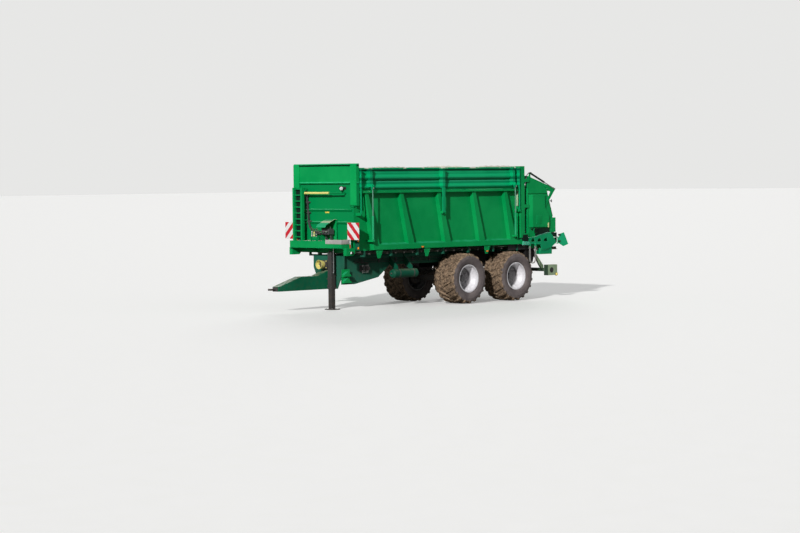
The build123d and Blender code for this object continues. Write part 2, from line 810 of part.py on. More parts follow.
# Rear frame: two posts, the guides inside them, a top beam and the barrels that lift the gate
cylinder_x = rear_post_x - moving_gap - gate_barrel_radius
clamp_heights = spread(gate_barrel_bottom_z + 60, gate_barrel_top_z - 60, 3)
with BuildPart() as rear_frame:
    for side, sign in sides:
        block(rear_post_x, skin_rear_x - seat_gap, *span(sign, skin_half_width + seat_gap, body_half_width),
              rail_top_z + seat_gap, rear_post_top_z)
        guide_outer_y = skin_inner_y - seat_gap
        block(rear_post_x, rear_post_x + rear_guide_depth,
              *span(sign, body_half_width - rear_post_width - 90, guide_outer_y),
              floor_z + slat_side + 20, rear_post_top_z)
        block(rear_post_x, rear_post_x + rear_post_depth,
              *span(sign, body_half_width - rear_head_width,
                    body_half_width), ledge_z + 20, rear_post_top_z)
        bar_z(cylinder_x, sign * gate_cylinder_y, gate_barrel_radius, gate_barrel_bottom_z,
              gate_barrel_top_z)
        clamp_y = span(sign, gate_cylinder_y - gate_barrel_radius - 12,
                       gate_cylinder_y + gate_barrel_radius + 12)
        for z in clamp_heights:
            block(cylinder_x - gate_clamp_half, rear_post_x + 1, *clamp_y, z - gate_clamp_half,
                  z + gate_clamp_half)
        bar_z(cylinder_x, sign * gate_cylinder_y, gate_rod_radius + running_gap, gate_barrel_bottom_z + 40,
              gate_barrel_top_z + 10, mode=Mode.SUBTRACT)
    block(rear_post_x, rear_post_x + rear_beam_depth, -skin_half_width, skin_half_width,
          rear_post_top_z - rear_beam_height, rear_post_top_z)
    block(rear_post_x, rear_post_x + 8, 40 - skin_half_width, skin_half_width - 40,
          gate_top_z - 60, rear_post_top_z - rear_beam_height + 50)
write(rear_frame.part, "rear_frame")

# Sluice gate with its ribs, lifting arms and rods
gate_front_x = rear_post_x - moving_gap
gate_rear_x = gate_front_x - gate_thickness
gate_plate_x = gate_rear_x + 30
with BuildPart() as gate:
    block(gate_plate_x, gate_front_x, -gate_half_width, gate_half_width, gate_bottom_z, gate_top_z)
    for z in gate_rib_heights:
        block(gate_rear_x, gate_plate_x + 1, -gate_half_width, gate_half_width, z, z + gate_rib_height)
    for side, sign in sides:
        block(gate_rear_x, gate_front_x, *span(sign, gate_half_width - 160, gate_half_width),
              gate_top_z - 40, gate_eye_z + gate_arm_half)
        block(cylinder_x - 25, cylinder_x + 25, *span(sign, gate_half_width - 10, gate_cylinder_y + 35),
              gate_eye_z - gate_arm_half, gate_eye_z + gate_arm_half)
        bar_z(cylinder_x, sign * gate_cylinder_y, gate_rod_radius, gate_barrel_bottom_z + 45, gate_eye_z)
write(gate.part, "sluice_gate")

# Spreader housing: two cheeks with their drive covers, the hood and the bearings of the beaters
beater_x = behind(beater_setback)
flap_x = behind(flap_pivot_setback)
flap_base_x = behind(flap_base_setback)
flap_eye_x = behind(flap_eye_setback)
with BuildPart() as housing:
    for side, sign in sides:
        on_cheek = cheek_half_width - 1
        side_plate([(behind(back), z) for back, z in cheek_rows],
                   *span(sign, cheek_half_width - cheek_plate, cheek_half_width))
        side_plate([(behind(back), z) for back, z in cover_rows], *span(sign, on_cheek, cover_half_width))
        # The bevel that takes the cover's front edge off
        bevel_x = behind(cover_rows[0][0])
        with BuildSketch(Plane.XY.offset(cover_rows[-1][1] - 1)) as wedge:
            with BuildLine():
                Polyline((bevel_x + 1, sign * (cheek_half_width + 2)),
                         (bevel_x + 1, sign * (cover_half_width + 1)),
                         (bevel_x - cover_bevel_length, sign * (cover_half_width + 1)), close=True)
            make_face()
        extrude(wedge.sketch, amount=cover_rows[0][1] - cover_rows[-1][1] + 2, mode=Mode.SUBTRACT)
        block(behind(cheek_rib_setback), behind(cheek_setback),
              *span(sign, on_cheek, cheek_half_width + cheek_rib_proud),
              *cheek_rib_heights)
        block(behind(cheek_setback + 8), behind(cheek_setback),
              *span(sign, cheek_half_width - 60, cheek_half_width),
              cheek_rows[-1][1], hood_front_z)
        bar_y(beater_x, beater_heights[0], beater_boss_radius,
              *span(sign, on_cheek, cheek_half_width + beater_boss_proud))
        cross_plate([(sign * y, z) for y, z in deflector_rows], behind(deflector_rear),
                    behind(deflector_front))
        bar_y(beater_x, beater_heights[0], beater_shaft_radius + deflector_hole_margin,
              *span(sign, cheek_half_width - 60, cheek_half_width - cheek_plate), mode=Mode.SUBTRACT)
        for z in beater_heights:
            bar_y(beater_x, z, beater_shaft_radius + running_gap,
                  *span(sign, cheek_half_width - 60, cheek_half_width + 24), mode=Mode.SUBTRACT)
        block(behind(cheek_setback + 8), behind(strip_front),
              *span(sign, strip_inner_y, strip_inner_y + strip_plate),
              strip_bottom_z, strip_top_z)
        block(behind(cheek_setback + 8), behind(cheek_setback),
              *span(sign, strip_inner_y, cheek_half_width - 59),
              strip_bottom_z, strip_top_z)
        # Feet on the rear posts, outside the gate's cylinders
        for z in cheek_foot_heights:
            block(behind(cheek_setback + 40), rear_post_x - seat_gap,
                  *span(sign, on_cheek, body_half_width),
                  z, z + cheek_foot_height)
        # Hinge pin of the flap, and the bracket and pin of its cylinder
        bar_y(flap_x, flap_pivot_z, flap_pin_radius, *span(sign, on_cheek, cheek_half_width + 24))
        side_plate(
            [(flap_base_x - 12, 3560), (flap_base_x + 60, 3560), (flap_base_x + 34, flap_base_z + 30),
             (flap_base_x - 12, flap_base_z + 30)],
            *span(sign, on_cheek, cheek_half_width + 20 - seat_gap),
        )
        bar_y(flap_base_x, flap_base_z, flap_small_pin_radius,
              *span(sign, cheek_half_width + 10, flap_cylinder_y + 15))
    side_plate([(behind(back), z) for back, z in chute_rows], -chute_half_width, chute_half_width)
    # Hood plate from cheek to cheek
    hood_foot_x = behind(hood_rear_setback - 40)
    side_plate(
        [(behind(cheek_setback), hood_front_z), (hood_foot_x, hood_rear_z + 12),
         (hood_foot_x, hood_rear_z + 6),
         (behind(cheek_setback), hood_front_z - 8)],
        4 - cheek_half_width,
        cheek_half_width - 4,
    )
write(housing.part, "spreader_housing")

# Wheels, made on their own axis with the outer face towards +Y, then set in their four places
rim_half = rim_width / 2
well_inner = rim_well_radius - rim_plate
seat_inner = rim_seat_radius - rim_plate
rim_profile = [
    (rim_flange_radius, -rim_half), (seat_inner, -rim_half), (seat_inner, -rim_half + 60),
    (well_inner, -rim_half + 150),
    (well_inner, 20), (hub_radius, 30), (hub_radius, hub_face_y), (well_inner - 30, 60), (well_inner, 150),
    (seat_inner, rim_half - 90), (seat_inner + 6, rim_half), (rim_flange_radius, rim_half),
    (rim_flange_radius, rim_half - 12), (rim_seat_radius, rim_half - 22), (rim_seat_radius, rim_half - 90),
    (rim_well_radius, 150), (rim_well_radius, -rim_half + 150), (rim_seat_radius, -rim_half + 60),
    (rim_seat_radius, -rim_half + 22), (rim_flange_radius, -rim_half + 12),
]
with BuildPart() as rim:
    with BuildSketch(Plane.XY) as section:
        with BuildLine():
            Polyline(*rim_profile, close=True)
        make_face()
    revolve(section.sketch, axis=Axis.Y)
    bar_y(0, 0, hub_radius + 2, -90, hub_face_y)
    bar_y(0, 0, hub_cap_radius, hub_face_y - 1, 130)
    bar_y(0, 0, spindle_radius + running_gap, -100, 40, mode=Mode.SUBTRACT)
    with BuildSketch(Plane.XZ.offset(-hub_face_y - nut_height)) as nuts:
        with PolarLocations(nut_circle_radius, nut_count):
            RegularPolygon(nut_radius, 6)
    extrude(nuts.sketch, amount=nut_height + 12)

# Tyre: a carcass with slanting lugs from each shoulder to past the middle
lug_side_reach = lug_inner_end * sin(radians(lug_angle)) + lug_width / 2 * cos(radians(lug_angle))
lug_top = sqrt(tyre_radius**2 - lug_side_reach**2)
tread_radius = lug_top - lug_height
tyre_half_profile = [
    (rim_seat_radius + seat_gap, rim_half - 24),
    (rim_flange_radius + 4, rim_half - 16),
    (440, tyre_width / 2 - 22),
    (sidewall_radius, tyre_width / 2),
    (shoulder_radius, tyre_width / 2 - 22),
    (tread_radius, tyre_width / 2 - 95),
]
lug_outline = [
    (-lug_inner_end - 12, tread_radius - 20), (-lug_inner_end, lug_top), (lug_outer_end, lug_top),
    (lug_shoulder_end, lug_top - 40), (lug_shoulder_end + 6, shoulder_radius - 30),
    (lug_outer_end, tread_radius - 40),
]
with BuildPart() as lug:
    cross_plate(lug_outline, -lug_width / 2, lug_width / 2)
with BuildPart() as tyre:
    with BuildSketch(Plane.XY) as section:
        with BuildLine():
            Polyline(*[(radius, -y) for radius, y in tyre_half_profile], *reversed(tyre_half_profile),
                     close=True)
        make_face()
    revolve(section.sketch, axis=Axis.Y)
    lug_places = []
    for number in range(lug_count):
        for row in (1, -1):
            turn = 360 / lug_count * (number + (0.5 if row < 0 else 0))
            heading = lug_angle if row > 0 else 180 - lug_angle
            around = Location((0, 0, 0), (0, turn, 0))
            lug_places.append(around * Location((0, row * lug_middle_y, 0), (0, 0, heading)))
    with Locations(*lug_places):
        add(lug.part)

wheel_rows = (("front", axle_spacing / 2), ("rear", -axle_spacing / 2))
for row_name, reach in wheel_rows:
    for side, sign in sides:
        place = Location((at(reach), sign * wheel_track / 2, tyre_radius))
        for piece, piece_name in ((rim.part, "rim_"), (tyre.part, "tyre_")):
            handed = piece if sign > 0 else mirror(piece, about=Plane.XZ)
            write(handed.moved(place), piece_name + row_name + "_" + side)

# Axles: a square beam, its brake drums and a round spindle into each hub
for row_name, reach in wheel_rows:
    with BuildPart() as axle:
        block(at(reach) - axle_square / 2, at(reach) + axle_square / 2, -axle_half_length, axle_half_length,
              tyre_radius - axle_square / 2, tyre_radius + axle_square / 2)
        for side, sign in sides:
            bar_y(at(reach), tyre_radius, spindle_radius, *span(sign, axle_half_length - 1, spindle_end_y))
            bar_y(at(reach), tyre_radius, drum_radius,
                  *span(sign, axle_half_length + 12 - drum_width, axle_half_length + 12))
    write(axle.part, "axle_" + row_name)

# Rocking spring packs between the two axles
spring_low_z = tyre_radius + axle_square / 2 + seat_gap
spring_half = axle_spacing / 2 + 60
spring_top_z = hanger_bottom_z - 0.5
with BuildPart() as springs:
    for side, sign in sides:
        spring_y = span(sign, chassis_inner_y + 5, chassis_half_width - 5)
        with BuildSketch(Plane.XZ.offset(-spring_y[1])) as pack:
            with BuildLine():
                upper = ThreePointArc((at(-spring_half), spring_low_z + 22 + spring_leaf_height),
                                      (at(0), spring_top_z),
                                      (at(spring_half), spring_low_z + 22 + spring_leaf_height))
                lower = ThreePointArc((at(spring_half), spring_low_z + 22),
                                      (at(0), spring_top_z - spring_arch + 12),
                                      (at(-spring_half), spring_low_z + 22))
                Line(upper @ 1, lower @ 0)
                Line(lower @ 1, upper @ 0)
            make_face()
        extrude(pack.sketch, amount=spring_y[1] - spring_y[0])
        for reach in (-axle_spacing / 2, axle_spacing / 2):
            block(at(reach) - spring_seat_half, at(reach) + spring_seat_half, *spring_y, spring_low_z,
                  spring_low_z + 45)
write(springs.part, "bogie_springs")

# Air tank on two brackets
tank_rear_x = at(tank_front_reach) - tank_length
bracket_y = chassis_half_width + seat_gap
with BuildPart() as tank:
    tank_plane = Plane(origin=(tank_rear_x, tank_y, tank_z), x_dir=(1, 0, 0), z_dir=(0, -1, 0))
    with BuildSketch(tank_plane) as half_tank:
        with BuildLine():
            Polyline((0, 0), (0, tank_radius * 0.7), (45, tank_radius), (tank_length - 45, tank_radius),
                     (tank_length, tank_radius * 0.7), (tank_length, 0), close=True)
        make_face()
    revolve(half_tank.sketch, axis=Axis((tank_rear_x, tank_y, tank_z), (1, 0, 0)))
    for x in (tank_rear_x + tank_bracket_inset, tank_rear_x + tank_length - tank_bracket_inset):
        cross_plate(
            [(bracket_y, 1440), (bracket_y, 1200), (tank_y - 60, tank_z + tank_radius - 35),
             (tank_y + 60, tank_z + tank_radius - 35), (tank_y + 40, tank_z + tank_radius + 80)],
            x - tank_bracket_plate / 2,
            x + tank_bracket_plate / 2,
        )
write(tank.part, "air_tank")

# Wheel chock holder with two chocks, beside the front of the chassis
chock_rear_x = chassis_front_x - 140
with BuildPart() as chocks:
    block(chock_rear_x - 10, chock_rear_x + 290, chock_plate_y, chock_plate_y + 8, 720, 1110)
    block(chock_rear_x + 20, chock_rear_x + 100, bracket_y, chock_plate_y + 1, 900, 1060)
    for z in chock_heights:
        side_plate(
            [(chock_rear_x, z), (chock_rear_x + 280, z), (chock_rear_x + 280, z + 50),
             (chock_rear_x + 140, z + 140)],
            chock_plate_y + 7,
            chock_plate_y + 7 + chock_width,
        )
write(chocks.part, "wheel_chocks")

# Jack: a square tube beside the drawbar with a sliding leg
jack_x = drawbar_rear_x + jack_setoff
tube_half = jack_tube_side / 2
bore_half = tube_half - jack_tube_wall
leg_half = bore_half - jack_slide_gap
foot_half = jack_foot_side / 2
with BuildPart() as jack_tube:
    block(jack_x - tube_half, jack_x + tube_half, jack_offset - tube_half, jack_offset + tube_half,
          jack_bottom_z, jack_top_z)
    block(jack_x - bore_half, jack_x + bore_half, jack_offset - bore_half, jack_offset + bore_half,
          jack_bottom_z - 1, jack_top_z - 12, mode=Mode.SUBTRACT)
    for z in jack_clamp_heights:
        block(jack_x - 60, jack_x + 60, drawbar_half_width + seat_gap, jack_offset - tube_half + 1,
              z - 20, z + 20)
write(jack_tube.part, "jack_tube")
with BuildPart() as jack_leg:
    block(jack_x - leg_half, jack_x + leg_half, jack_offset - leg_half, jack_offset + leg_half,
          jack_foot_plate - 1, jack_leg_top_z)
    block(jack_x - foot_half, jack_x + foot_half, jack_offset + jack_foot_shift - foot_half,
          jack_offset + jack_foot_shift + foot_half, 0, jack_foot_plate)
write(jack_leg.part, "jack_leg")

# Front platform under the front wall, with the ends of its carrier
with BuildPart() as platform:
    platform_front_x = wall_x + platform_depth
    side_plate(
        [(wall_x + seat_gap, platform_top_z), (platform_front_x, platform_top_z),
         (platform_front_x, platform_skirt_z),
         (platform_front_x - 10, platform_skirt_z), (platform_front_x - 10,
                                                     platform_top_z - platform_sheet),
         (wall_x + 10, platform_top_z - platform_sheet), (wall_x + 10, platform_back_z),
         (wall_x + seat_gap, platform_back_z)],
        -platform_half_width,
        platform_half_width,
    )
    for y in platform_rib_ys:
        side_plate(
            [(wall_x + 5, platform_top_z - 7), (platform_front_x - 5, platform_top_z - 7),
             (platform_front_x - 5, platform_skirt_z), (wall_x + 5, platform_back_z)],
            y,
            y + platform_rib_plate,
        )
    for side, sign in sides:
        side_plate(
            [(wall_x + 10, platform_skirt_z), (wall_x + carrier_length, platform_skirt_z),
             (wall_x + carrier_length, carrier_bottom_z), (wall_x + 60, carrier_bottom_z),
             (wall_x + 10, platform_back_z)],
            *span(sign, carrier_inner_y, carrier_outer_y),
        )
    # Kick plate round the left front corner
    block(platform_front_x - 1, platform_front_x + kick_plate,
          kick_right_y, platform_half_width + kick_plate, *kick_heights)
    block(wall_x + kick_rear_gap, platform_front_x + kick_plate,
          platform_half_width - 1, platform_half_width + kick_plate, *kick_heights)
    # Rack with the couplers of the supply hoses
    rack_x = wall_x + rack_setoff
    rack_top_z = platform_top_z + rack_height
    block(rack_x - 28, rack_x + 28, rack_right_y, rack_left_y, rack_top_z - rack_plate, rack_top_z)
    for y in (rack_right_y, rack_left_y - rack_plate):
        block(rack_x - 28, rack_x + 28, y, y + rack_plate, platform_top_z - 1, rack_top_z - rack_plate + 1)
    for y in spread(rack_left_y - 30, rack_right_y + 30, supply_hose_count):
        bar_z(rack_x, y, coupler_radius, rack_top_z - 1, rack_top_z + coupler_height)
write(platform.part, "front_platform")

# Warning plates on stems that stand on the ends of the carrier
for side, sign in sides:
    with BuildPart() as warning:
        plate_x = wall_x + warning_setoff
        block(plate_x, plate_x + warning_plate,
              *span(sign, warning_outer_y - warning_side, warning_outer_y),
              warning_bottom_z, warning_bottom_z + warning_side)
        block(plate_x - 30, plate_x, *span(sign, carrier_outer_y - 40, carrier_outer_y - 10),
              platform_skirt_z + seat_gap, warning_bottom_z + 320)
    write(warning.part, "warning_plate_" + side)

# Ladder in front of the wall on the right
ladder_front_x = wall_x + ladder_setoff
ladder_rear_x = ladder_front_x - ladder_rail_depth
with BuildPart() as ladder:
    for y in (ladder_left_y - ladder_rail_width, ladder_right_y):
        block(ladder_rear_x, ladder_front_x, y, y + ladder_rail_width, platform_top_z + seat_gap,
              ladder_top_z)
    rung_middle = ((ladder_rear_x + ladder_front_x) / 2, (ladder_left_y + ladder_right_y) / 2)
    rungs = [(*rung_middle, rung_first_z + rung_pitch * number) for number in range(rung_count)]
    with Locations(*rungs):
        Box(rung_depth, ladder_left_y - ladder_right_y - 60, rung_height)
    for z in ladder_stay_heights:
        for y in (ladder_left_y - 45, ladder_right_y + 55):
            block(wall_x + seat_gap, ladder_rear_x + 1, y, y + 20, z, z + 30)
write(ladder.part, "ladder")

# Hood over the hydraulic valves, open on the left and below, with the valve block inside
hood_outline = [(wall_x + ahead, platform_top_z + seat_gap + rise) for ahead, rise in hood_rows]
with BuildPart() as hood:
    side_plate(hood_outline, hood_right_y, hood_left_y)
    with BuildSketch(Plane.XZ.offset(-hood_left_y - 1)) as cavity:
        with BuildLine():
            Polyline(*hood_outline, close=True)
        make_face()
        offset(amount=-hood_sheet, kind=Kind.INTERSECTION)
    extrude(cavity.sketch, amount=hood_left_y + 1 - hood_right_y - hood_sheet, mode=Mode.SUBTRACT)
    block(wall_x + hood_mouth_front, wall_x + hood_rows[-2][0] + 1, hood_right_y - 1, hood_left_y + 1,
          platform_top_z - 1, platform_top_z + hood_mouth_top, mode=Mode.SUBTRACT)
write(hood.part, "valve_hood")
valve_x = wall_x + valve_setoff
valve_z = platform_top_z + valve_rise
port_z = valve_z + valve_height / 2
port_x = valve_x + valve_length + port_length
port_ys = spread(hood_left_y - 70, hood_right_y + 70, supply_hose_count)
with BuildPart() as valves:
    block(valve_x, valve_x + valve_length, hood_right_y + 40, hood_left_y - 30, valve_z,
          valve_z + valve_height)
    for y in port_ys:
        bar_x(y, port_z, port_radius, valve_x + valve_length - 1, port_x)
        bar_z(valve_x + valve_length / 2, y, port_radius - 4, valve_z + valve_height - 1,
              valve_z + valve_height + 50)
    for y in (hood_right_y + 80, hood_left_y - 80):
        block(valve_x + 20, valve_x + 90, y - 10, y + 10, platform_top_z + hood_sheet + 2 * seat_gap,
              valve_z + 1)
write(valves.part, "valve_block")

# Supply hoses: each arches forward out of its port and down into its coupler on the platform's rack
coupler_ys = spread(rack_left_y - 30, rack_right_y + 30, supply_hose_count)
for number in range(supply_hose_count):
    start = Vector(port_x, port_ys[number], port_z)
    end = Vector(wall_x + rack_setoff, coupler_ys[number], platform_top_z + rack_height + coupler_height)
    hose = hose_tube(arch_route(start, end), supply_hose_radius, "supply_hose_" + str(number + 1))
    write(hose, "supply_hose_" + str(number + 1))

# Input gearbox on the bulkhead and its splined stub
gearbox_rear_x = drawbar_rear_x + seat_gap
neck_rear_x = gearbox_rear_x + gearbox_length
gearbox_front_x = neck_rear_x + gearbox_neck_length
with BuildPart() as gearbox:
    block(gearbox_rear_x, neck_rear_x, -gearbox_half_width, gearbox_half_width,
          input_z - gearbox_half, input_z + gearbox_half)
    bar_x(0, input_z, gearbox_neck_radius, neck_rear_x - 1, gearbox_front_x)
    bar_x(0, input_z, stub_collar_radius + running_gap, gearbox_front_x - stub_collar_depth,
          gearbox_front_x + 1,
          mode=Mode.SUBTRACT)
write(gearbox.part, "input_gearbox")
collar_front_x = gearbox_front_x + 15
with BuildPart() as stub:
    bar_x(0, input_z, stub_collar_radius, gearbox_front_x - stub_collar_depth + 2, collar_front_x)
    bar_x(0, input_z, stub_radius, collar_front_x - 1, collar_front_x + stub_length)
write(stub.part, "input_stub")

# Fold-down side boards: a pressed board, its lifting arms and its hinge arms
board_front_x = post_rear_x - board_end_gap
board_rear_x = skin_rear_x + board_end_gap
board_outline = [
    (board_inner_y, board_bottom_z), (board_inner_y, board_top_z), (board_rim_y, board_top_z),
    (board_rim_y, board_top_z - board_rim_height), (board_outer_y, board_top_z - board_rim_height - 8),
]
for top_z, slope_top_z, slope_foot_z, nose_z in swage_rows:
    board_outline += [
        (board_outer_y, top_z), (board_step_y, top_z - 24), (board_step_y, slope_top_z),
        (board_swage_y, slope_foot_z), (board_swage_y, nose_z), (board_outer_y, nose_z - 12),
    ]
board_outline.append((board_outer_y, board_bottom_z))
hinge_arm_outline = [
    (board_outer_y - 1, arm_top_z), (arm_outer_y, arm_top_z), (arm_outer_y, board_pivot_z),
    (board_pivot_y - hinge_eye_radius, board_pivot_z), (arm_inner_y, board_pivot_z + 95),
    (arm_inner_y, arm_foot_z - 30),
    (board_outer_y - 1, arm_foot_z),
]
lift_arm_outline = [
    (board_outer_y - 1, arm_top_z), (1290, arm_top_z), (1306, 3450), (1292, 3360),
    (board_outer_y - 1, arm_foot_z + 10),
]
lift_ear_outline = [
    (1288, 3460), (fold_eye_y, 3420), (1380, 3340), (1372, fold_eye_z - 30), (1318, fold_eye_z - 30),
    (1288, 3350),
]
for side, sign in sides:
    with BuildPart() as board:
        cross_plate([(sign * y, z) for y, z in board_outline], board_rear_x, board_front_x)
        for x, width, seat_y in hinge_arm_rows:
            cross_plate([(sign * y, z) for y, z in hinge_arm_outline], x - width / 2, x + width / 2)
            bar_x(sign * board_pivot_y, board_pivot_z, hinge_eye_radius, x - width / 2, x + width / 2)
            bar_x(sign * board_pivot_y, board_pivot_z, hinge_pin_radius + running_gap, x - width, x + width,
                  mode=Mode.SUBTRACT)
        for x in fold_cylinder_xs:
            cross_plate([(sign * y, z) for y, z in lift_arm_outline], x - lift_arm_width / 2,
                        x + lift_arm_width / 2)
            half = fold_eye_width / 2 + seat_gap
            for ear_x in (x - half - ear_plate, x + half):
                cross_plate([(sign * y, z) for y, z in lift_ear_outline], ear_x, ear_x + ear_plate)
    write(board.part, "side_board_" + side)

    with BuildPart() as barrels:
        for x in fold_cylinder_xs:
            eye_low_x = x - fold_eye_width / 2
            eye_high_x = x + fold_eye_width / 2
            bar_x(sign * fold_eye_y, fold_base_z, fold_eye_radius, eye_low_x, eye_high_x)
            block(eye_low_x, eye_high_x, *span(sign, fold_eye_y - fold_neck_half,
                                               fold_eye_y + fold_neck_half),
                  fold_base_z, fold_base_z + fold_neck_length + 1)
            bar_z(x, sign * fold_eye_y, fold_barrel_radius, fold_base_z + fold_neck_length, fold_gland_z)
            bar_z(x, sign * fold_eye_y, fold_rod_radius + running_gap, fold_base_z + 60, fold_gland_z + 10,
                  mode=Mode.SUBTRACT)
            bar_x(sign * fold_eye_y, fold_base_z, hinge_pin_radius + running_gap, eye_low_x - 1,
                  eye_high_x + 1,
                  mode=Mode.SUBTRACT)
    write(barrels.part, "fold_barrels_" + side)

    with BuildPart() as rods:
        for x in fold_cylinder_xs:
            bar_x(sign * fold_eye_y, fold_eye_z, fold_eye_radius - 2, x - fold_eye_width / 2,
                  x + fold_eye_width / 2)
            bar_z(x, sign * fold_eye_y, fold_rod_radius, fold_gland_z - 45, fold_eye_z)
    write(rods.part, "fold_rods_" + side)

# Beaters: a drum with slanting paddles in two helical rows
paddle_reach = (beater_drum_radius + beater_tip_radius) / 2 - 10
for name, beater_z in zip(("lower", "upper"), beater_heights):
    with BuildPart() as beater:
        bar_y(beater_x, beater_z, beater_drum_radius, -beater_half_length, beater_half_length)
        bar_y(beater_x, beater_z, beater_shaft_radius, -cheek_half_width - 20, cheek_half_width + 20)
        paddles = []
        for number in range(paddle_rows):
            for start in (0, 180):
                y = (number - (paddle_rows - 1) / 2) * paddle_pitch
                around = Location((beater_x, y, beater_z), (0, start + number * paddle_twist, 0))
                paddles.append(around * Location((0, 0, paddle_reach), (0, 0, paddle_slant)))
        with Locations(*paddles):
            Box(paddle_plate, paddle_width, beater_tip_radius - beater_drum_radius + 18)
    write(beater.part, "beater_" + name)

# Spreading discs with their vanes
disc_x = behind(disc_setback)
for side, sign in sides:
    disc_y = sign * disc_offset
    with BuildPart() as disc:
        bar_z(disc_x, disc_y, disc_radius, disc_z - disc_plate, disc_z)
        bar_z(disc_x, disc_y, disc_hub_radius, disc_z - 1, disc_z + disc_hub_height)
        bar_z(disc_x, disc_y, disc_shaft_radius, disc_z - 60, disc_z)
        vanes = []
        for number in range(vane_count):
            around = Location((disc_x, disc_y, disc_z), (0, 0, 360 / vane_count * number + 20))
            vanes.append(around * Location((disc_radius / 2 + 30, 40, vane_height / 2 - 1),
                                           (0, 0, sign * 12)))
        with Locations(*vanes):
            Box(disc_radius - 120, vane_plate, vane_height)
    write(disc.part, "disc_" + side)

# Disc table: side beams with slotted brackets, cross beam, arms and a gearbox under each disc
wing_pin_x = behind(wing_pin_setback)
beam_front_x = behind(table_beam_front)
cross_beam_x = behind(cross_beam_setback)
with BuildPart() as table:
    for side, sign in sides:
        bracket_y = span(sign, cheek_half_width + seat_gap, cheek_half_width + bracket_plate)
        for lug_z, lug_back in wing_lug_rows:
            block(wing_pin_x - 20, behind(lug_back),
                  *span(sign, cheek_half_width + seat_gap, wing_pin_y + 20),
                  lug_z, lug_z + 12)
            bar_z(wing_pin_x, sign * wing_pin_y, wing_pin_radius + running_gap, lug_z - 1, lug_z + 13,
                  mode=Mode.SUBTRACT)
        block(behind(table_beam_rear), beam_front_x, *span(sign, cheek_half_width - 90, cheek_half_width),
              table_bottom_z, table_beam_top_z)
        side_plate([(behind(back), z) for back, z in bracket_rows], *bracket_y)
        for back in bracket_slot_fronts:
            side_plate(
                [(behind(back), 1690), (behind(back + bracket_slot_length), 1690),
                 (behind(back + bracket_slot_length - 40), 1790), (behind(back + 60), 1775)],
                bracket_y[0] - 1,
                bracket_y[1] + 1,
                mode=Mode.SUBTRACT,
            )
        # Bolting pad between the beam and the bracket
        block(behind(940), behind(760), *span(sign, cheek_half_width - 40, cheek_half_width + 10), 1445,
              1480)
        block(disc_x, behind(table_beam_front + 20), *span(sign, disc_offset - 50, disc_offset + 50),
              table_bottom_z + 10, table_bottom_z + 80)
        bar_z(disc_x, sign * disc_offset, disc_gearbox_radius, table_bottom_z, disc_z - 16)
        bar_z(disc_x, sign * disc_offset, disc_shaft_radius + running_gap, disc_z - 62, disc_z,
              mode=Mode.SUBTRACT)
        block(cross_beam_x, chassis_rear_x - seat_gap, *span(sign, chassis_inner_y, chassis_half_width),
              table_bottom_z, table_bottom_z + cross_beam_height)
    block(cross_beam_x - cross_beam_half, cross_beam_x + cross_beam_half, 40 - cheek_half_width,
          cheek_half_width - 40,
          table_bottom_z, table_bottom_z + cross_beam_height)
    bar_y(disc_x, table_bottom_z + 34, 28, -disc_offset, disc_offset)
    # Fittings of the hanging hoses under the left bracket
    for back in (table_hose_rows[0][0], table_hose_rows[-1][0]):
        x = behind(table_hose_start + back)
        block(x - 20, x + 20, cheek_half_width + seat_gap, table_hose_ys[-1] + 16, 1600, 1640)
        for y in table_hose_ys:
            bar_z(x, y, ferrule_radius, table_hose_rows[0][1], 1601)
write(table.part, "disc_table")

for number, y in enumerate(table_hose_ys):
    route = [Vector(behind(table_hose_start + back), y, z) for back, z in table_hose_rows]
    write(hose_tube(route, table_hose_radius, "table_hose"), "table_hose_" + str(number + 1))

# Limiter wings behind the brackets
wing_outline = [(wing_pin_x, 1780)] + [(behind(back), z) for back, z in wing_rows] + [(wing_pin_x, 1640)]
for side, sign in sides:
    with BuildPart() as wing:
        side_plate(wing_outline, *span(sign, wing_pin_y - 6, wing_pin_y - 6 + wing_plate))
        bar_z(wing_pin_x, sign * wing_pin_y, wing_pin_radius, wing_lug_rows[0][0] - 10,
              wing_lug_rows[1][0] + 25)
    write(wing.part, "limiter_wing_" + side)

# Light bar hung from the cross beam, with a lamp box at each end
lamp_rear = lamp_box_front + lamp_box_length
lamp_bottom_z = light_bar_z + light_bar_side / 2 + 95 - lamp_box_height
with BuildPart() as light_bar:
    block(behind(light_bar_setback) - light_bar_side / 2, behind(light_bar_setback) + light_bar_side / 2,
          -light_bar_half_length, light_bar_half_length,
          light_bar_z - light_bar_side / 2, light_bar_z + light_bar_side / 2)
    for side, sign in sides:
        hanger_top_z = table_bottom_z - seat_gap
        side_plate([(behind(back), z if z else hanger_top_z) for back, z in hanger_rows],
                   *span(sign, 900, 960))
        inner_y = lamp_box_outer_y - lamp_box_width
        block(behind(lamp_rear), behind(lamp_box_front), *span(sign, inner_y, lamp_box_outer_y),
              lamp_bottom_z, lamp_bottom_z + lamp_box_height)
        block(behind(lamp_rear) - 1, behind(lamp_rear) + lamp_pocket_depth,
              *span(sign, inner_y + lamp_wall, lamp_box_outer_y - lamp_wall),
              lamp_bottom_z + 27, lamp_bottom_z + lamp_box_height - 25, mode=Mode.SUBTRACT)
        bar_y(behind(lamp_box_front + 160), lamp_bottom_z + lamp_box_height / 2, lamp_hole_radius,
              *span(sign, lamp_box_outer_y - 60, lamp_box_outer_y + 1), mode=Mode.SUBTRACT)
write(light_bar.part, "light_bar")

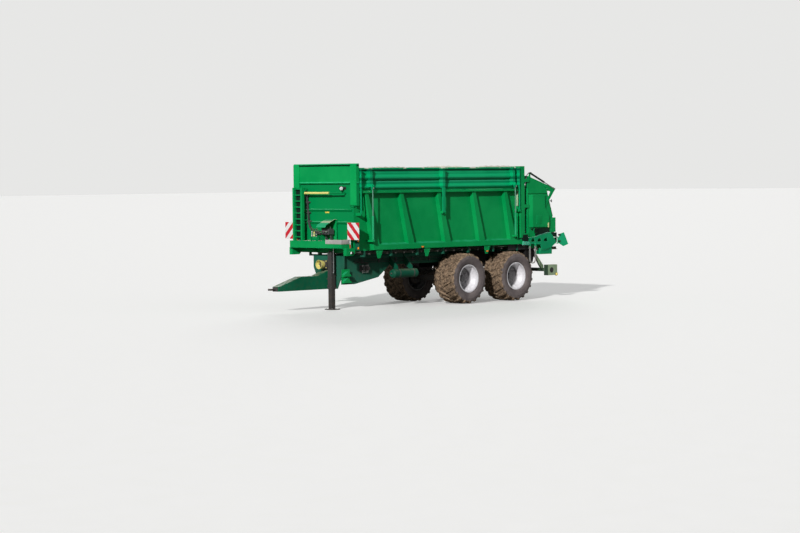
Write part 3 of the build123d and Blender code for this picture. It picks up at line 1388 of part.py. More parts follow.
# Rear hood flap with its cross tube and levers
flap_foot_x = behind(flap_foot_setback)
with BuildPart() as flap:
    side_plate(
        [(behind(978), flap_top_z), (behind(1000), flap_top_z - 10), (flap_foot_x - 6, flap_foot_z),
         (flap_foot_x, flap_foot_z), (behind(980), flap_top_z - 40)],
        -flap_half_width,
        flap_half_width,
    )
    bar_y(behind(flap_tube_setback), flap_tube_z, flap_tube_radius, -cheek_half_width - 18,
          cheek_half_width + 18)
    for side, sign in sides:
        side_plate(
            [(flap_x + 40, flap_pivot_z + 10), (flap_x, flap_pivot_z + 42),
             (flap_eye_x - 30, flap_eye_z + 30),
             (flap_eye_x - 34, flap_eye_z - 30), (behind(940), 2720), (behind(890), 2740),
             (behind(1140), 3140),
             (flap_x + 10, flap_pivot_z - 44)],
            *span(sign, cheek_half_width + 6, cheek_half_width + 6 + lever_plate),
        )
        bar_y(flap_x, flap_pivot_z, flap_pin_radius + running_gap,
              *span(sign, cheek_half_width, cheek_half_width + 30),
              mode=Mode.SUBTRACT)
write(flap.part, "rear_flap")

# Flap cylinders along the sloping edge of the hood
flap_run_x = flap_eye_x - flap_base_x
flap_run_z = flap_eye_z - flap_base_z
flap_run = hypot(flap_run_x, flap_run_z)
flap_line = (flap_run_x / flap_run, 0, flap_run_z / flap_run)
barrel_start = flap_base_eye_radius - 3
with BuildPart() as flap_barrels:
    for side, sign in sides:
        line_plane = Plane(origin=(flap_base_x, sign * flap_cylinder_y, flap_base_z), x_dir=(0, 1, 0),
                           z_dir=flap_line)
        eye_y = span(sign, cheek_half_width + 20, flap_cylinder_y + 15)
        bar_y(flap_base_x, flap_base_z, flap_base_eye_radius, *eye_y)
        with BuildSketch(line_plane.offset(barrel_start)) as ring:
            Circle(flap_barrel_radius)
        extrude(ring.sketch, amount=flap_barrel_length - barrel_start)
        with BuildSketch(line_plane.offset(60)) as bore:
            Circle(flap_rod_radius + running_gap)
        extrude(bore.sketch, amount=flap_barrel_length, mode=Mode.SUBTRACT)
        bar_y(flap_base_x, flap_base_z, flap_small_pin_radius + running_gap, eye_y[0] - 1, eye_y[1] + 1,
              mode=Mode.SUBTRACT)
write(flap_barrels.part, "flap_barrels")
with BuildPart() as flap_rods:
    for side, sign in sides:
        line_plane = Plane(origin=(flap_base_x, sign * flap_cylinder_y, flap_base_z), x_dir=(0, 1, 0),
                           z_dir=flap_line)
        bar_y(flap_eye_x, flap_eye_z, flap_rod_eye_radius,
              *span(sign, cheek_half_width + 20, flap_cylinder_y + 15))
        with BuildSketch(line_plane.offset(flap_barrel_length - 50)) as rod:
            Circle(flap_rod_radius)
        extrude(rod.sketch, amount=flap_run - flap_barrel_length + 50)
write(flap_rods.part, "flap_rods")
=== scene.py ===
import bmesh
import bpy
import math
from mathutils import Matrix, Vector, noise


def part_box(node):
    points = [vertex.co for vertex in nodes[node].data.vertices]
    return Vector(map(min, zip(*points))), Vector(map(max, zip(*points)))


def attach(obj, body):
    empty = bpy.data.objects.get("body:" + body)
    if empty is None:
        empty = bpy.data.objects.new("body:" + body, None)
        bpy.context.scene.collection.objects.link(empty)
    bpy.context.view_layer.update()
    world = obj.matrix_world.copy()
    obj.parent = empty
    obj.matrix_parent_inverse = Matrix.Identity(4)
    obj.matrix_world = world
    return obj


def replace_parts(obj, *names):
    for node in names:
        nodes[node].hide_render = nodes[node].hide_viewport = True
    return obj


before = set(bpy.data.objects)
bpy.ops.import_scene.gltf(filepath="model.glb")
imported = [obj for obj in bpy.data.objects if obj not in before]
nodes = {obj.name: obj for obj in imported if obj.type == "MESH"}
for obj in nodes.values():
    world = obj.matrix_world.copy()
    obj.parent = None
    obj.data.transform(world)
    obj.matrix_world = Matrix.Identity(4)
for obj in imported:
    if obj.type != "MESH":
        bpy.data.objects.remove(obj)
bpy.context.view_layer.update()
scene = bpy.context.scene

# Places on the machine that several pieces share, in metres
BOGIE_X = -1.95
WHEEL_X = (BOGIE_X + 0.99, BOGIE_X - 0.99)
WHEEL_Y = 1.04
WHEEL_Z = 0.72
WALL_X = 3.24
POST_X = -3.45
SKIN_RIB_Y = 1.207
CHEEK_Y = 1.24
DRIVE_COVER_Y = 1.30
PLATFORM_Z = 1.8935
SIDES = ("left", "right")
AHEAD, OUTWARD, UPWARD = (1, 0, 0), (0, 1, 0), (0, 0, 1)

# Camera that was fitted to the photograph, with its angles in radians
PHOTO_WIDTH = 800
FOCAL_PIXELS = 2270.13
SENSOR_WIDTH = 36.0
CAMERA_PLACE = (45.462, 46.057, 3.6255)
YAW, PITCH, ROLL = -2.3451, -0.0395, -0.0098


def add_camera():
    """A long lens at the place from which the photograph was taken."""
    data = bpy.data.cameras.new("camera")
    data.sensor_width = SENSOR_WIDTH
    data.lens = FOCAL_PIXELS / PHOTO_WIDTH * SENSOR_WIDTH
    data.clip_end = 1000
    camera = bpy.data.objects.new("camera", data)
    scene.collection.objects.link(camera)
    forward = Vector((math.cos(PITCH) * math.cos(YAW), math.cos(PITCH) * math.sin(YAW), math.sin(PITCH)))
    right = forward.cross(Vector(UPWARD)).normalized()
    up = right.cross(forward)
    tilted_right = math.cos(ROLL) * right + math.sin(ROLL) * up
    tilted_up = -math.sin(ROLL) * right + math.cos(ROLL) * up
    turn = Matrix((tilted_right, tilted_up, -forward)).transposed().to_4x4()
    camera.matrix_world = Matrix.Translation(CAMERA_PLACE) @ turn
    scene.camera = camera


def add_light(name, direction, energy, size):
    """A sun lamp that shines from this direction."""
    data = bpy.data.lights.new(name, "SUN")
    data.energy = energy
    data.angle = size
    lamp = bpy.data.objects.new(name, data)
    lamp.rotation_euler = Vector(direction).to_track_quat("Z", "Y").to_euler()
    scene.collection.objects.link(lamp)


add_camera()
scene.view_settings.view_transform = "Standard"
add_light("key_light", (0.83, 0.43, 0.39), 3.2, 0.03)
add_light("fill_light", (-0.5, 0.9, 0.8), 0.14, 0.9)
add_light("back_light", (-0.8, -0.75, 0.45), 1.1, 0.5)


def add_hose(name, points, radius, replaced):
    """A hose on one smooth curve through the same route as its solid, riding on the carrier in its place."""
    curve = bpy.data.curves.new(name, "CURVE")
    curve.dimensions = "3D"
    curve.bevel_depth = 1.0
    curve.bevel_resolution = 4
    curve.use_fill_caps = True
    spline = curve.splines.new("NURBS")
    spline.points.add(len(points) - 1)
    for control, point in zip(spline.points, points):
        control.co = (*point, 1)
        control.radius = radius
    spline.order_u = 3
    spline.use_endpoint_u = True
    spline.resolution_u = 8
    hose = bpy.data.objects.new(name, curve)
    scene.collection.objects.link(hose)
    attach(hose, "carrier")
    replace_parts(hose, replaced)
    return hose


# The supply hoses arch from the valve block down to their couplers. The arch gives X and Z of the points,
# and the hoses give the Y of each point and the length
SUPPLY_RADIUS = 0.0075
SUPPLY_ARCH = ((3.61, 2.147), (3.70, 2.147), (3.7711, 2.1648), (3.765, 2.2018),
               (3.7122, 2.2332), (3.6437, 2.2342), (3.59, 2.18), (3.59, 2.09))
SUPPLY_HOSES = (
    ((0.41, 0.41, 0.325, 0.2241, 0.1227, 0.0362, -0.02, -0.02), 0.702),
    ((0.305, 0.305, 0.2215, 0.1244, 0.0274, -0.0553, -0.11, -0.11), 0.690),
    ((0.20, 0.20, 0.1181, 0.0246, -0.0678, -0.1469, -0.20, -0.20), 0.678),
)
SUPPLY_PORTS = [ys[0] for ys, length in SUPPLY_HOSES]
COUPLERS = [ys[-1] for ys, length in SUPPLY_HOSES]
# How far behind the rear posts, and how high, each point of the hoses under the disc table lies
TABLE_RADIUS = 0.0105
TABLE_ROUTE = ((0.210, 1.560), (0.210, 1.460), (0.204, 1.352), (0.205, 1.248), (0.212, 1.148),
               (0.2435, 1.0922), (0.2983, 1.060), (0.3617, 1.060), (0.4165, 1.0922), (0.448, 1.148),
               (0.455, 1.248), (0.456, 1.352), (0.450, 1.460), (0.450, 1.560))
supply_hoses = [
    add_hose("hose_supply_%d" % number, [(x, y, z) for (x, z), y in zip(SUPPLY_ARCH, ys)], SUPPLY_RADIUS,
             "supply_hose_%d" % number)
    for number, (ys, length) in enumerate(SUPPLY_HOSES, 1)
]
table_hoses = [
    add_hose("hose_table_%d" % number, [(POST_X - back, y, z) for back, z in TABLE_ROUTE], TABLE_RADIUS,
             "table_hose_%d" % number)
    for number, y in enumerate((1.252, 1.290), 1)
]


class Nodes:
    """Short calls that add shader nodes to one tree and link them. A colour is given without its alpha."""

    def __init__(self, tree):
        self.tree = tree
        tree.nodes.clear()

    def add(self, kind, **settings):
        node = self.tree.nodes.new("ShaderNode" + kind)
        for name, value in settings.items():
            setattr(node, name, value)
        return node

    def link(self, source, target):
        self.tree.links.new(source, target)

    def put(self, socket, value):
        if isinstance(value, bpy.types.NodeSocket):
            self.link(value, socket)
        elif isinstance(value, tuple):
            socket.default_value = (*value, 1)
        else:
            socket.default_value = value

    def position(self):
        return self.add("TexCoord").outputs["Object"]

    def axes(self, vector):
        """The parts X, Y and Z of a vector."""
        node = self.add("SeparateXYZ")
        self.link(vector, node.inputs[0])
        return node.outputs

    def math(self, operation, *values):
        node = self.add("Math", operation=operation)
        for socket, value in zip(node.inputs, values):
            self.put(socket, value)
        return node.outputs[0]

    def plus(self, a, b):
        return self.math("ADD", a, b)

    def minus(self, a, b):
        return self.math("SUBTRACT", a, b)

    def times(self, first, *others):
        for other in others:
            first = self.math("MULTIPLY", first, other)
        return first

    def mix(self, factor, a, b):
        node = self.add("Mix", data_type="RGBA")
        self.put(node.inputs[0], factor)
        self.put(node.inputs[6], a)
        self.put(node.inputs[7], b)
        return node.outputs[2]

    def noise(self, vector, scale, detail=3.0, rough=0.55):
        node = self.add("TexNoise")
        self.link(vector, node.inputs["Vector"])
        node.inputs["Scale"].default_value = scale
        node.inputs["Detail"].default_value = detail
        node.inputs["Roughness"].default_value = rough
        return node.outputs["Fac"]

    def band(self, value, low, high):
        """A smooth step from 0 at low to 1 at high."""
        node = self.add("MapRange", interpolation_type="SMOOTHSTEP")
        self.put(node.inputs["Value"], value)
        node.inputs["From Min"].default_value = low
        node.inputs["From Max"].default_value = high
        return node.outputs["Result"]

    def stretch(self, vector, scale):
        node = self.add("Mapping")
        self.link(vector, node.inputs["Vector"])
        node.inputs["Scale"].default_value = scale
        return node.outputs["Vector"]

    def bump(self, height, strength, distance):
        node = self.add("Bump")
        node.inputs["Strength"].default_value = strength
        node.inputs["Distance"].default_value = distance
        self.link(height, node.inputs["Height"])
        return node.outputs["Normal"]

    def shader(self, colour, roughness, metallic=0.0, normal=None, specular=0.5):
        shader = self.add("BsdfPrincipled")
        self.put(shader.inputs["Base Color"], colour)
        self.put(shader.inputs["Roughness"], roughness)
        shader.inputs["Metallic"].default_value = metallic
        shader.inputs["Specular IOR Level"].default_value = specular
        if normal is not None:
            self.link(normal, shader.inputs["Normal"])
        self.link(shader.outputs[0], self.add("OutputMaterial").inputs["Surface"])
        return shader


def new_material(name):
    material = bpy.data.materials.new(name)
    material.use_nodes = True
    return material, Nodes(material.node_tree)


# Pale green for faces turned up: dust and a painted highlight
GREEN_DUST_AND_HIGHLIGHT = (0.03, 0.42, 0.22)
# Colour of the painted shade on faces that look ahead
FRONT_PAINTED_SHADE = (0.006, 0.030, 0.018)
LIME = (0.74, 0.70, 0.62)
SOIL = (0.115, 0.075, 0.045)


def wear_edges(n, base, fine, wear, edge):
    """Bare or faded metal along the edges; on the rear green paint the pale edge is a painted highlight."""
    rounded = n.add("Bevel", samples=4)
    rounded.inputs["Radius"].default_value = 0.010
    dot = n.add("VectorMath", operation="DOT_PRODUCT")
    n.link(rounded.outputs[0], dot.inputs[0])
    n.link(n.add("NewGeometry").outputs["Normal"], dot.inputs[1])
    sharp = n.band(n.minus(1.0, dot.outputs["Value"]), 0.02, 0.16)
    return n.mix(n.times(sharp, n.band(fine, 0.44, 0.62), wear), base, edge)


def layer_heights(n, base, place, face, layers):
    """Bands of painted shade in grooves and under ledges, and of painted highlight on what stands out."""
    outward = n.band(n.math("MAXIMUM", n.times(face["Y"], place["Y"]), face["X"]), 0.25, 0.40)
    for low, high, soft, tint, strength in layers:
        above = n.band(place["Z"], low - soft, low + soft)
        below = n.minus(1.0, n.band(place["Z"], high - soft, high + soft))
        base = n.mix(n.times(above, below, outward, strength), base, tint)
    return base


def weathered(name, colour, roughness, metallic=0.0, specular=0.5, wear=0.5, dust=0.6, low_dirt=0.5,
              edge=(0.30, 0.33, 0.30), variation=0.16, grime=0.35, streaks=(0.03, 0.20, 0.08), lime=None,
              dust_and_highlight_tint=(0.42, 0.34, 0.24), layers=(), front_painted_shade=0.0):
    """Paint or metal with uneven colour, worn edges, dust on what faces up (where its colour is a pale green,
    also a painted highlight), dirt low down, and where asked painted shade and painted highlight.
    """
    material, n = new_material(name)
    coordinates = n.add("TexCoord").outputs
    position = coordinates["Object"]
    place, face = n.axes(position), n.axes(coordinates["Normal"])
    fine = n.noise(position, 24.0, 5.0, 0.65)
    streak = n.noise(n.stretch(position, (9.0, 9.0, 0.9)), 3.0, 4.0, 0.6)
    dark = tuple(c * (1 - variation) for c in colour)
    light = tuple(min(1.0, c * (1 + variation * 0.7) + 0.004) for c in colour)
    base = n.mix(n.band(n.noise(position, 1.3, 4.0), 0.35, 0.66), dark, light)
    # Rain and lime streaks down the sides
    base = n.mix(n.times(n.band(streak, 0.58, 0.82), grime * 0.45), base, streaks)
    base = wear_edges(n, base, fine, wear, edge)
    # Dust that has settled on faces turned up; where its colour is a pale green it is also a painted
    # highlight
    patches = n.band(n.noise(position, 6.0, 5.0, 0.6), 0.30, 0.62)
    settled_dust_and_highlight = n.times(n.band(face["Z"], 0.35, 0.95), patches, dust)
    base = n.mix(settled_dust_and_highlight, base, dust_and_highlight_tint)
    if layers:
        base = layer_heights(n, base, place, face, layers)
    # Painted shade on faces that look ahead
    if front_painted_shade:
        base = n.mix(n.times(n.band(face["X"], 0.4, 0.8), front_painted_shade), base, FRONT_PAINTED_SHADE)
    if lime:
        # Lime that lies in patches along a rim, between two heights
        patch = n.band(n.noise(n.stretch(position, (1.0, 1.0, 0.3)), 2.6, 5.0, 0.62), 0.52, 0.60)
        base = n.mix(n.times(patch, n.band(place["Z"], *lime)), base, LIME)
    # Dirt thrown up from the ground
    low = n.minus(1.0, n.band(place["Z"], 0.25, 1.75))
    thrown = n.times(low, n.band(n.noise(position, 9.0, 6.0, 0.7), 0.38, 0.72), low_dirt)
    base = n.mix(thrown, base, SOIL)
    dull = n.math("MAXIMUM", n.math("MAXIMUM", settled_dust_and_highlight, thrown), n.times(n.band(streak, 0.5, 0.8), 0.3))
    rough = n.add("MapRange")
    n.link(dull, rough.inputs["Value"])
    rough.inputs["To Min"].default_value = roughness
    rough.inputs["To Max"].default_value = 0.85
    height = n.plus(n.times(fine, 0.4), n.times(dull, 0.6))
    n.shader(base, rough.outputs["Result"], metallic, n.bump(height, 0.10, 0.004), specular)
    return material


def axle_distance(n, place):
    """How far a point is from the nearest axle, seen from the side."""
    along = n.minus(n.math("ABSOLUTE", n.minus(place["X"], BOGIE_X)), WHEEL_X[0] - BOGIE_X)
    above = n.minus(place["Z"], WHEEL_Z)
    return n.math("SQRT", n.plus(n.times(along, along), n.times(above, above)))


def tyre_material():
    """Black rubber, grey with dust on the walls and brown with caked soil on the tread."""
    material, n = new_material("tyre_rubber_worn")
    position = n.position()
    clods = n.noise(position, 14.0, 6.0, 0.68)
    fine = n.noise(position, 60.0, 4.0, 0.6)
    broad = n.noise(position, 3.0, 4.0)
    wall = n.mix(n.band(broad, 0.3, 0.7), (0.112, 0.092, 0.092), (0.180, 0.150, 0.145))
    wall = n.mix(n.times(n.band(clods, 0.50, 0.74), 0.35), wall, (0.24, 0.20, 0.17))
    soil = n.mix(n.band(clods, 0.36, 0.64), (0.050, 0.032, 0.021), (0.30, 0.205, 0.130))
    soil = n.mix(n.times(n.band(fine, 0.52, 0.70), 0.5), soil, (0.44, 0.34, 0.24))
    ragged = n.plus(axle_distance(n, n.axes(position)), n.times(n.minus(clods, 0.5), 0.10))
    caked = n.band(ragged, 0.630, 0.655)
    height = n.plus(n.times(clods, n.plus(0.25, caked)), n.times(fine, 0.2))
    n.shader(n.mix(caked, wall, soil), 0.82, 0.0, n.bump(height, 0.55, 0.010), 0.3)
    return material


def rim_material():
    """Silver paint, bright on the barrel and flange, with painted shade in dark grey over the hub and down in
    the disc.
    """
    material, n = new_material("rim_silver")
    position = n.position()
    place = n.axes(position)
    depth = n.minus(n.math("ABSOLUTE", place["Y"]), WHEEL_Y)
    clods = n.noise(position, 13.0, 5.0, 0.65)
    fine = n.noise(position, 46.0, 4.0)
    paint = n.mix(n.band(clods, 0.3, 0.7), (0.74, 0.72, 0.74), (0.86, 0.84, 0.86))
    paint = n.mix(n.times(n.band(fine, 0.56, 0.72), 0.35), paint, (0.42, 0.36, 0.31))
    # Painted shade: dark grey over the hub and deep in the disc
    inner = n.minus(1.0, n.band(axle_distance(n, place), 0.17, 0.22))
    shaded_disc = n.minus(1.0, n.band(n.plus(depth, n.times(clods, 0.03)), 0.085, 0.150))
    grey = n.mix(n.band(fine, 0.40, 0.66), (0.110, 0.105, 0.110), (0.215, 0.205, 0.205))
    colour = n.mix(n.times(n.math("MAXIMUM", shaded_disc, inner), 0.92), paint, grey)
    # Soil that clings where the rim meets the tyre
    bead = n.times(n.band(depth, 0.318, 0.340), n.band(clods, 0.60, 0.74), 0.6)
    colour = n.mix(bead, colour, (0.20, 0.14, 0.09))
    n.shader(colour, 0.42, 0.15, n.bump(n.plus(n.times(fine, 0.5), clods), 0.12, 0.004), 0.4)
    return material


def stripe_material():
    """Red and white stripes that slope down towards the outside, on a plate with a painted stem."""
    material, n = new_material("warning_stripes")
    position = n.position()
    place = n.axes(position)
    along = n.plus(n.math("ABSOLUTE", place["Y"]), place["Z"])
    phase = n.math("FRACT", n.math("DIVIDE", n.plus(along, 0.075), 0.318))
    colour = n.mix(n.math("LESS_THAN", phase, 0.48), (0.80, 0.80, 0.78), (0.62, 0.015, 0.03))
    # The stem behind the plate is painted as the machine is
    on_plate = n.math("GREATER_THAN", place["X"], WALL_X + 0.1695)
    colour = n.mix(on_plate, (0.0, 0.20, 0.08), colour)
    scuffs = n.band(n.noise(position, 11.0, 5.0, 0.7), 0.55, 0.8)
    colour = n.mix(n.times(scuffs, 0.5), colour, (0.45, 0.38, 0.30))
    n.shader(colour, 0.32, 0.0, n.bump(n.noise(position, 40.0, 4.0), 0.05, 0.002), 0.5)
    return material


def glass_material(name, colour, glow):
    """A ribbed lamp lens."""
    material, n = new_material(name)
    position = n.position()
    ribs = n.add("TexWave", wave_type="BANDS", bands_direction="Z")
    n.link(position, ribs.inputs["Vector"])
    ribs.inputs["Scale"].default_value = 45.0
    specks = n.times(n.band(n.noise(position, 30.0, 4.0), 0.5, 0.8), 0.4)
    tint = n.mix(specks, colour, (0.4, 0.34, 0.26))
    shader = n.shader(tint, 0.16, 0.0, n.bump(ribs.outputs["Fac"], 0.25, 0.003), 0.6)
    n.put(shader.inputs["Emission Color"], colour)
    shader.inputs["Emission Strength"].default_value = glow
    return material


# Green paint. Its layers are bands of painted shade and painted highlight, the hood top's with dust as well.
# Each layer has its lowest and highest Z, how soft its rims are, its colour and its strength
green = weathered("machine_green", (0.0, 0.310, 0.078), 0.36, specular=0.14, edge=(0.04, 0.46, 0.24),
                  wear=0.55, low_dirt=0.10, variation=0.08, grime=0.25, streaks=(0.01, 0.22, 0.08),
                  dust_and_highlight_tint=GREEN_DUST_AND_HIGHLIGHT)
# Front wall: painted shade under the top rim, under the lip and on the wall below it; painted highlight on
# the top flange, along the lip and on faces turned up
front_green = weathered("front_green", (0.0, 0.325, 0.080), 0.36, specular=0.14, edge=(0.0, 0.20, 0.07),
                        wear=0.6, dust=0.95, low_dirt=0.10, variation=0.08, grime=0.25,
                        streaks=(0.01, 0.22, 0.08), dust_and_highlight_tint=(0.12, 0.58, 0.34),
                        layers=((3.924, 3.970, 0.006, (0.0, 0.025, 0.010), 1.0),
                                (3.978, 4.200, 0.006, (0.08, 0.50, 0.28), 0.6),
                                (3.480, 3.500, 0.005, (0.03, 0.62, 0.30), 0.6),
                                (1.500, 3.430, 0.010, (0.0, 0.236, 0.066), 0.9),
                                (3.425, 3.462, 0.008, (0.0, 0.045, 0.020), 0.7)))
tank_green = weathered("tank_green", (0.0, 0.085, 0.045), 0.42, specular=0.2, edge=(0.02, 0.16, 0.09),
                       wear=0.4, dust=0.25, low_dirt=0.15, variation=0.10, grime=0.3,
                       streaks=(0.01, 0.06, 0.04))
post_green = weathered("post_green", (0.0, 0.365, 0.088), 0.36, specular=0.14, edge=(0.05, 0.52, 0.26),
                       wear=0.6, dust=0.45, low_dirt=0.0, variation=0.07, grime=0.20,
                       streaks=(0.01, 0.24, 0.09), dust_and_highlight_tint=GREEN_DUST_AND_HIGHLIGHT)
# Boards: painted shade under the top rim and in the grooves, painted highlight on the ridges and narrow
# ledges
board_green = weathered("board_green", (0.0, 0.330, 0.120), 0.36, specular=0.14, edge=(0.04, 0.46, 0.26),
                        wear=0.55, dust=0.40, low_dirt=0.0, variation=0.08, grime=0.20,
                        streaks=(0.01, 0.24, 0.10), lime=(3.846, 3.860), dust_and_highlight_tint=GREEN_DUST_AND_HIGHLIGHT,
                        layers=((3.780, 3.838, 0.012, (0.0, 0.055, 0.030), 0.85),
                                (3.632, 3.700, 0.030, (0.0, 0.420, 0.155), 0.9),
                                (3.530, 3.600, 0.012, (0.0, 0.075, 0.035), 0.7),
                                (3.484, 3.512, 0.006, (0.03, 0.360, 0.190), 0.7),
                                (3.440, 3.476, 0.010, (0.0, 0.200, 0.090), 0.6),
                                (3.368, 3.430, 0.024, (0.0, 0.430, 0.160), 0.9),
                                (3.310, 3.350, 0.012, (0.0, 0.160, 0.070), 0.6)))
# Rear paint: its pale edges are a painted highlight
rear_green = weathered("rear_green", (0.0, 0.310, 0.118), 0.42, specular=0.18, edge=(0.30, 0.55, 0.40),
                       wear=0.8, dust=0.50, low_dirt=0.20, variation=0.12, grime=0.5,
                       streaks=(0.20, 0.33, 0.22), dust_and_highlight_tint=(0.20, 0.50, 0.33))
wing_green = weathered("wing_green", (0.01, 0.47, 0.20), 0.42, specular=0.18, edge=(0.30, 0.60, 0.42),
                       wear=0.6, dust=0.30, low_dirt=0.10, variation=0.10, streaks=(0.10, 0.40, 0.22))
# The light bar's faces that look ahead are darkened with painted shade
limed_green = weathered("limed_green", (0.30, 0.40, 0.25), 0.7, specular=0.15, edge=(0.55, 0.60, 0.48),
                        wear=0.8, dust=0.70, low_dirt=0.15, variation=0.30, grime=1.4,
                        streaks=(0.02, 0.25, 0.12), front_painted_shade=0.92)
cylinder_green = weathered("cylinder_green", (0.01, 0.330, 0.130), 0.34, specular=0.3, wear=0.6, dust=0.3,
                           edge=(0.20, 0.50, 0.38), low_dirt=0.1, dust_and_highlight_tint=GREEN_DUST_AND_HIGHLIGHT)
rail_pale = weathered("rail_tip_pale", (0.06, 0.46, 0.28), 0.5, specular=0.15, edge=(0.50, 0.68, 0.58),
                      wear=0.9, low_dirt=0.0, streaks=(0.40, 0.60, 0.48), grime=1.2,
                      dust_and_highlight_tint=(0.45, 0.66, 0.55))
# The drawbar's darker green is painted shade
bar_green = weathered("drawbar_green_painted_shade", (0.0, 0.125, 0.058), 0.42, specular=0.16, edge=(0.04, 0.34, 0.18),
                      dust=0.40, low_dirt=0.20, streaks=(0.02, 0.12, 0.05))
# A darker copy of the machine green for parts under the body: painted shade
painted_shade_green = weathered("chassis_green_painted_shade", (0.012, 0.118, 0.070), 0.5, specular=0.2, wear=0.3, dust=0.30,
                        low_dirt=0.30)
inner_green = weathered("load_side_green", (0.03, 0.20, 0.085), 0.55, wear=0.7, dust=0.9, grime=1.4,
                        edge=(0.45, 0.42, 0.36))
# Hood top: a pale band on its upper part, dust and a painted highlight
sand_cap = weathered("hood_top_dusty_highlit", (0.01, 0.33, 0.14), 0.55, wear=0.3, dust=0.15, dust_and_highlight_tint=GREEN_DUST_AND_HIGHLIGHT,
                     streaks=(0.10, 0.40, 0.22), layers=((2.392, 2.60, 0.016, (0.52, 0.57, 0.38), 0.95),))

# Metal
silver = rim_material()
# The rods' grey-green is a painted reflection of the green paint round them
rod_steel_green_reflection = weathered("rod_steel_green_reflection", (0.20, 0.46, 0.34), 0.26, metallic=0.6, wear=0.0, dust=0.15, low_dirt=0.1,
                      streaks=(0.10, 0.30, 0.20), grime=0.4)
disc_steel = weathered("disc_steel", (0.235, 0.165, 0.110), 0.6, metallic=0.3, wear=0.4, dust=0.8,
                       low_dirt=0.1, edge=(0.50, 0.46, 0.42), streaks=(0.12, 0.08, 0.05))
dark_steel = weathered("dark_steel_worn", (0.055, 0.055, 0.058), 0.5, dust=0.7, low_dirt=0.8)
worn_steel = weathered("scoured_steel", (0.42, 0.40, 0.37), 0.42, metallic=0.85, wear=0.3, dust=0.7,
                       edge=(0.7, 0.7, 0.7))
jack_grey = weathered("jack_grey", (0.040, 0.038, 0.038), 0.46, dust=0.4, low_dirt=0.4)
chrome = weathered("rod_chrome", (0.82, 0.83, 0.85), 0.16, metallic=1.0, wear=0.0, dust=0.15, low_dirt=0.15,
                   grime=0.1)
zinc = weathered("zinc_plated", (0.62, 0.62, 0.60), 0.36, metallic=0.8, wear=0.2, dust=0.4, low_dirt=0.3)
dusty_metal = weathered("tread_plate", (0.47, 0.46, 0.43), 0.5, metallic=0.1, edge=(0.7, 0.68, 0.64),
                        streaks=(0.55, 0.48, 0.42), grime=0.8)

# Rubber, plastic, plates, lime and lenses
tyre_rubber = tyre_material()
black_plastic = weathered("black_plastic", (0.022, 0.022, 0.024), 0.45, wear=0.1, dust=0.5, low_dirt=0.4)
# Near-black, for dark parts and for pieces that stand in for shade
dark_seal_and_painted_shade = weathered("dark_seal_and_painted_shade", (0.006, 0.022, 0.014), 0.7, specular=0.1, wear=0.0, dust=0.3, low_dirt=0.1,
                      streaks=(0.02, 0.06, 0.04))
flap_rubber = weathered("flap_rubber", (0.014, 0.013, 0.013), 0.75, specular=0.1, wear=0.0, dust=0.3,
                        low_dirt=0.25, streaks=(0.05, 0.045, 0.04))
hose_black = weathered("hose_rubber", (0.030, 0.030, 0.032), 0.5, wear=0.0, dust=0.7, low_dirt=0.3)
dusty_hose = weathered("hose_limed", (0.30, 0.29, 0.27), 0.7, wear=0.0, low_dirt=0.2,
                       streaks=(0.12, 0.11, 0.10), grime=1.2)
yellow = weathered("grip_yellow", (0.92, 0.80, 0.24), 0.45, wear=0.3, dust=0.25, edge=(0.5, 0.46, 0.2),
                   streaks=(0.6, 0.5, 0.2))
lime_dry = weathered("lime_dry", (0.70, 0.66, 0.56), 0.9, specular=0.1, wear=0.0, dust=0.0, low_dirt=0.0,
                     streaks=(0.45, 0.42, 0.34), grime=1.6)
label_pale = weathered("reflector_yellow", (0.80, 0.74, 0.36), 0.35, wear=0.1, dust=0.3,
                       streaks=(0.6, 0.5, 0.2))
label_yellow = weathered("plate_yellow", (0.85, 0.62, 0.08), 0.4, wear=0.2, dust=0.2)
pale_patch_paint = weathered("pale_patch_paint", (0.42, 0.50, 0.34), 0.3, wear=0.1, dust=0.4,
                           streaks=(0.3, 0.4, 0.25))
stripes = stripe_material()
amber = glass_material("lens_amber", (0.90, 0.30, 0.02), 0.12)
yellow_lens = glass_material("lens_yellow", (0.92, 0.74, 0.20), 0.20)
red_lens = glass_material("lens_red", (0.55, 0.01, 0.015), 0.05)
white_lens = glass_material("lens_white", (0.80, 0.82, 0.82), 0.08)

NODE_LOOKS = (
    (green, "side_wall_left side_wall_right rear_frame front_platform ladder valve_hood wheel_chocks"),
    (green, "spreader_housing rear_flap"),
    (painted_shade_green, "chassis_frame cross_members floor_bearers"),
    (bar_green, "drawbar"),
    (front_green, "front_wall"),
    (tank_green, "air_tank"),
    (inner_green, "body_floor sluice_gate beater_lower beater_upper"),
    (board_green, "side_board_left side_board_right"),
    (wing_green, "limiter_wing_left limiter_wing_right"),
    (rear_green, "disc_table"),
    (limed_green, "light_bar"),
    (cylinder_green, "fold_barrels_left fold_barrels_right"),
    (rod_steel_green_reflection, "fold_rods_left fold_rods_right"),
    (disc_steel, "disc_left disc_right"),
    (worn_steel, "floor_chain"),
    (dark_steel, "coupling_eye valve_block input_gearbox axle_front axle_rear bogie_springs"),
    (jack_grey, "jack_tube jack_leg"),
    (chrome, "flap_rods input_stub"),
    (black_plastic, "flap_barrels"),
    (stripes, "warning_plate_left warning_plate_right"),
    (hose_black, "supply_hose_1 supply_hose_2 supply_hose_3"),
    (dusty_hose, "table_hose_1 table_hose_2"),
    (silver, "rim_front_left rim_front_right rim_rear_left rim_rear_right"),
    (tyre_rubber, "tyre_front_left tyre_front_right tyre_rear_left tyre_rear_right"),
)
for look, names in NODE_LOOKS:
    for name in names.split():
        for slot in nodes[name].material_slots:
            slot.material = look
for hoses, look in ((supply_hoses, hose_black), (table_hoses, dusty_hose)):
    for hose in hoses:
        hose.data.materials.append(look)


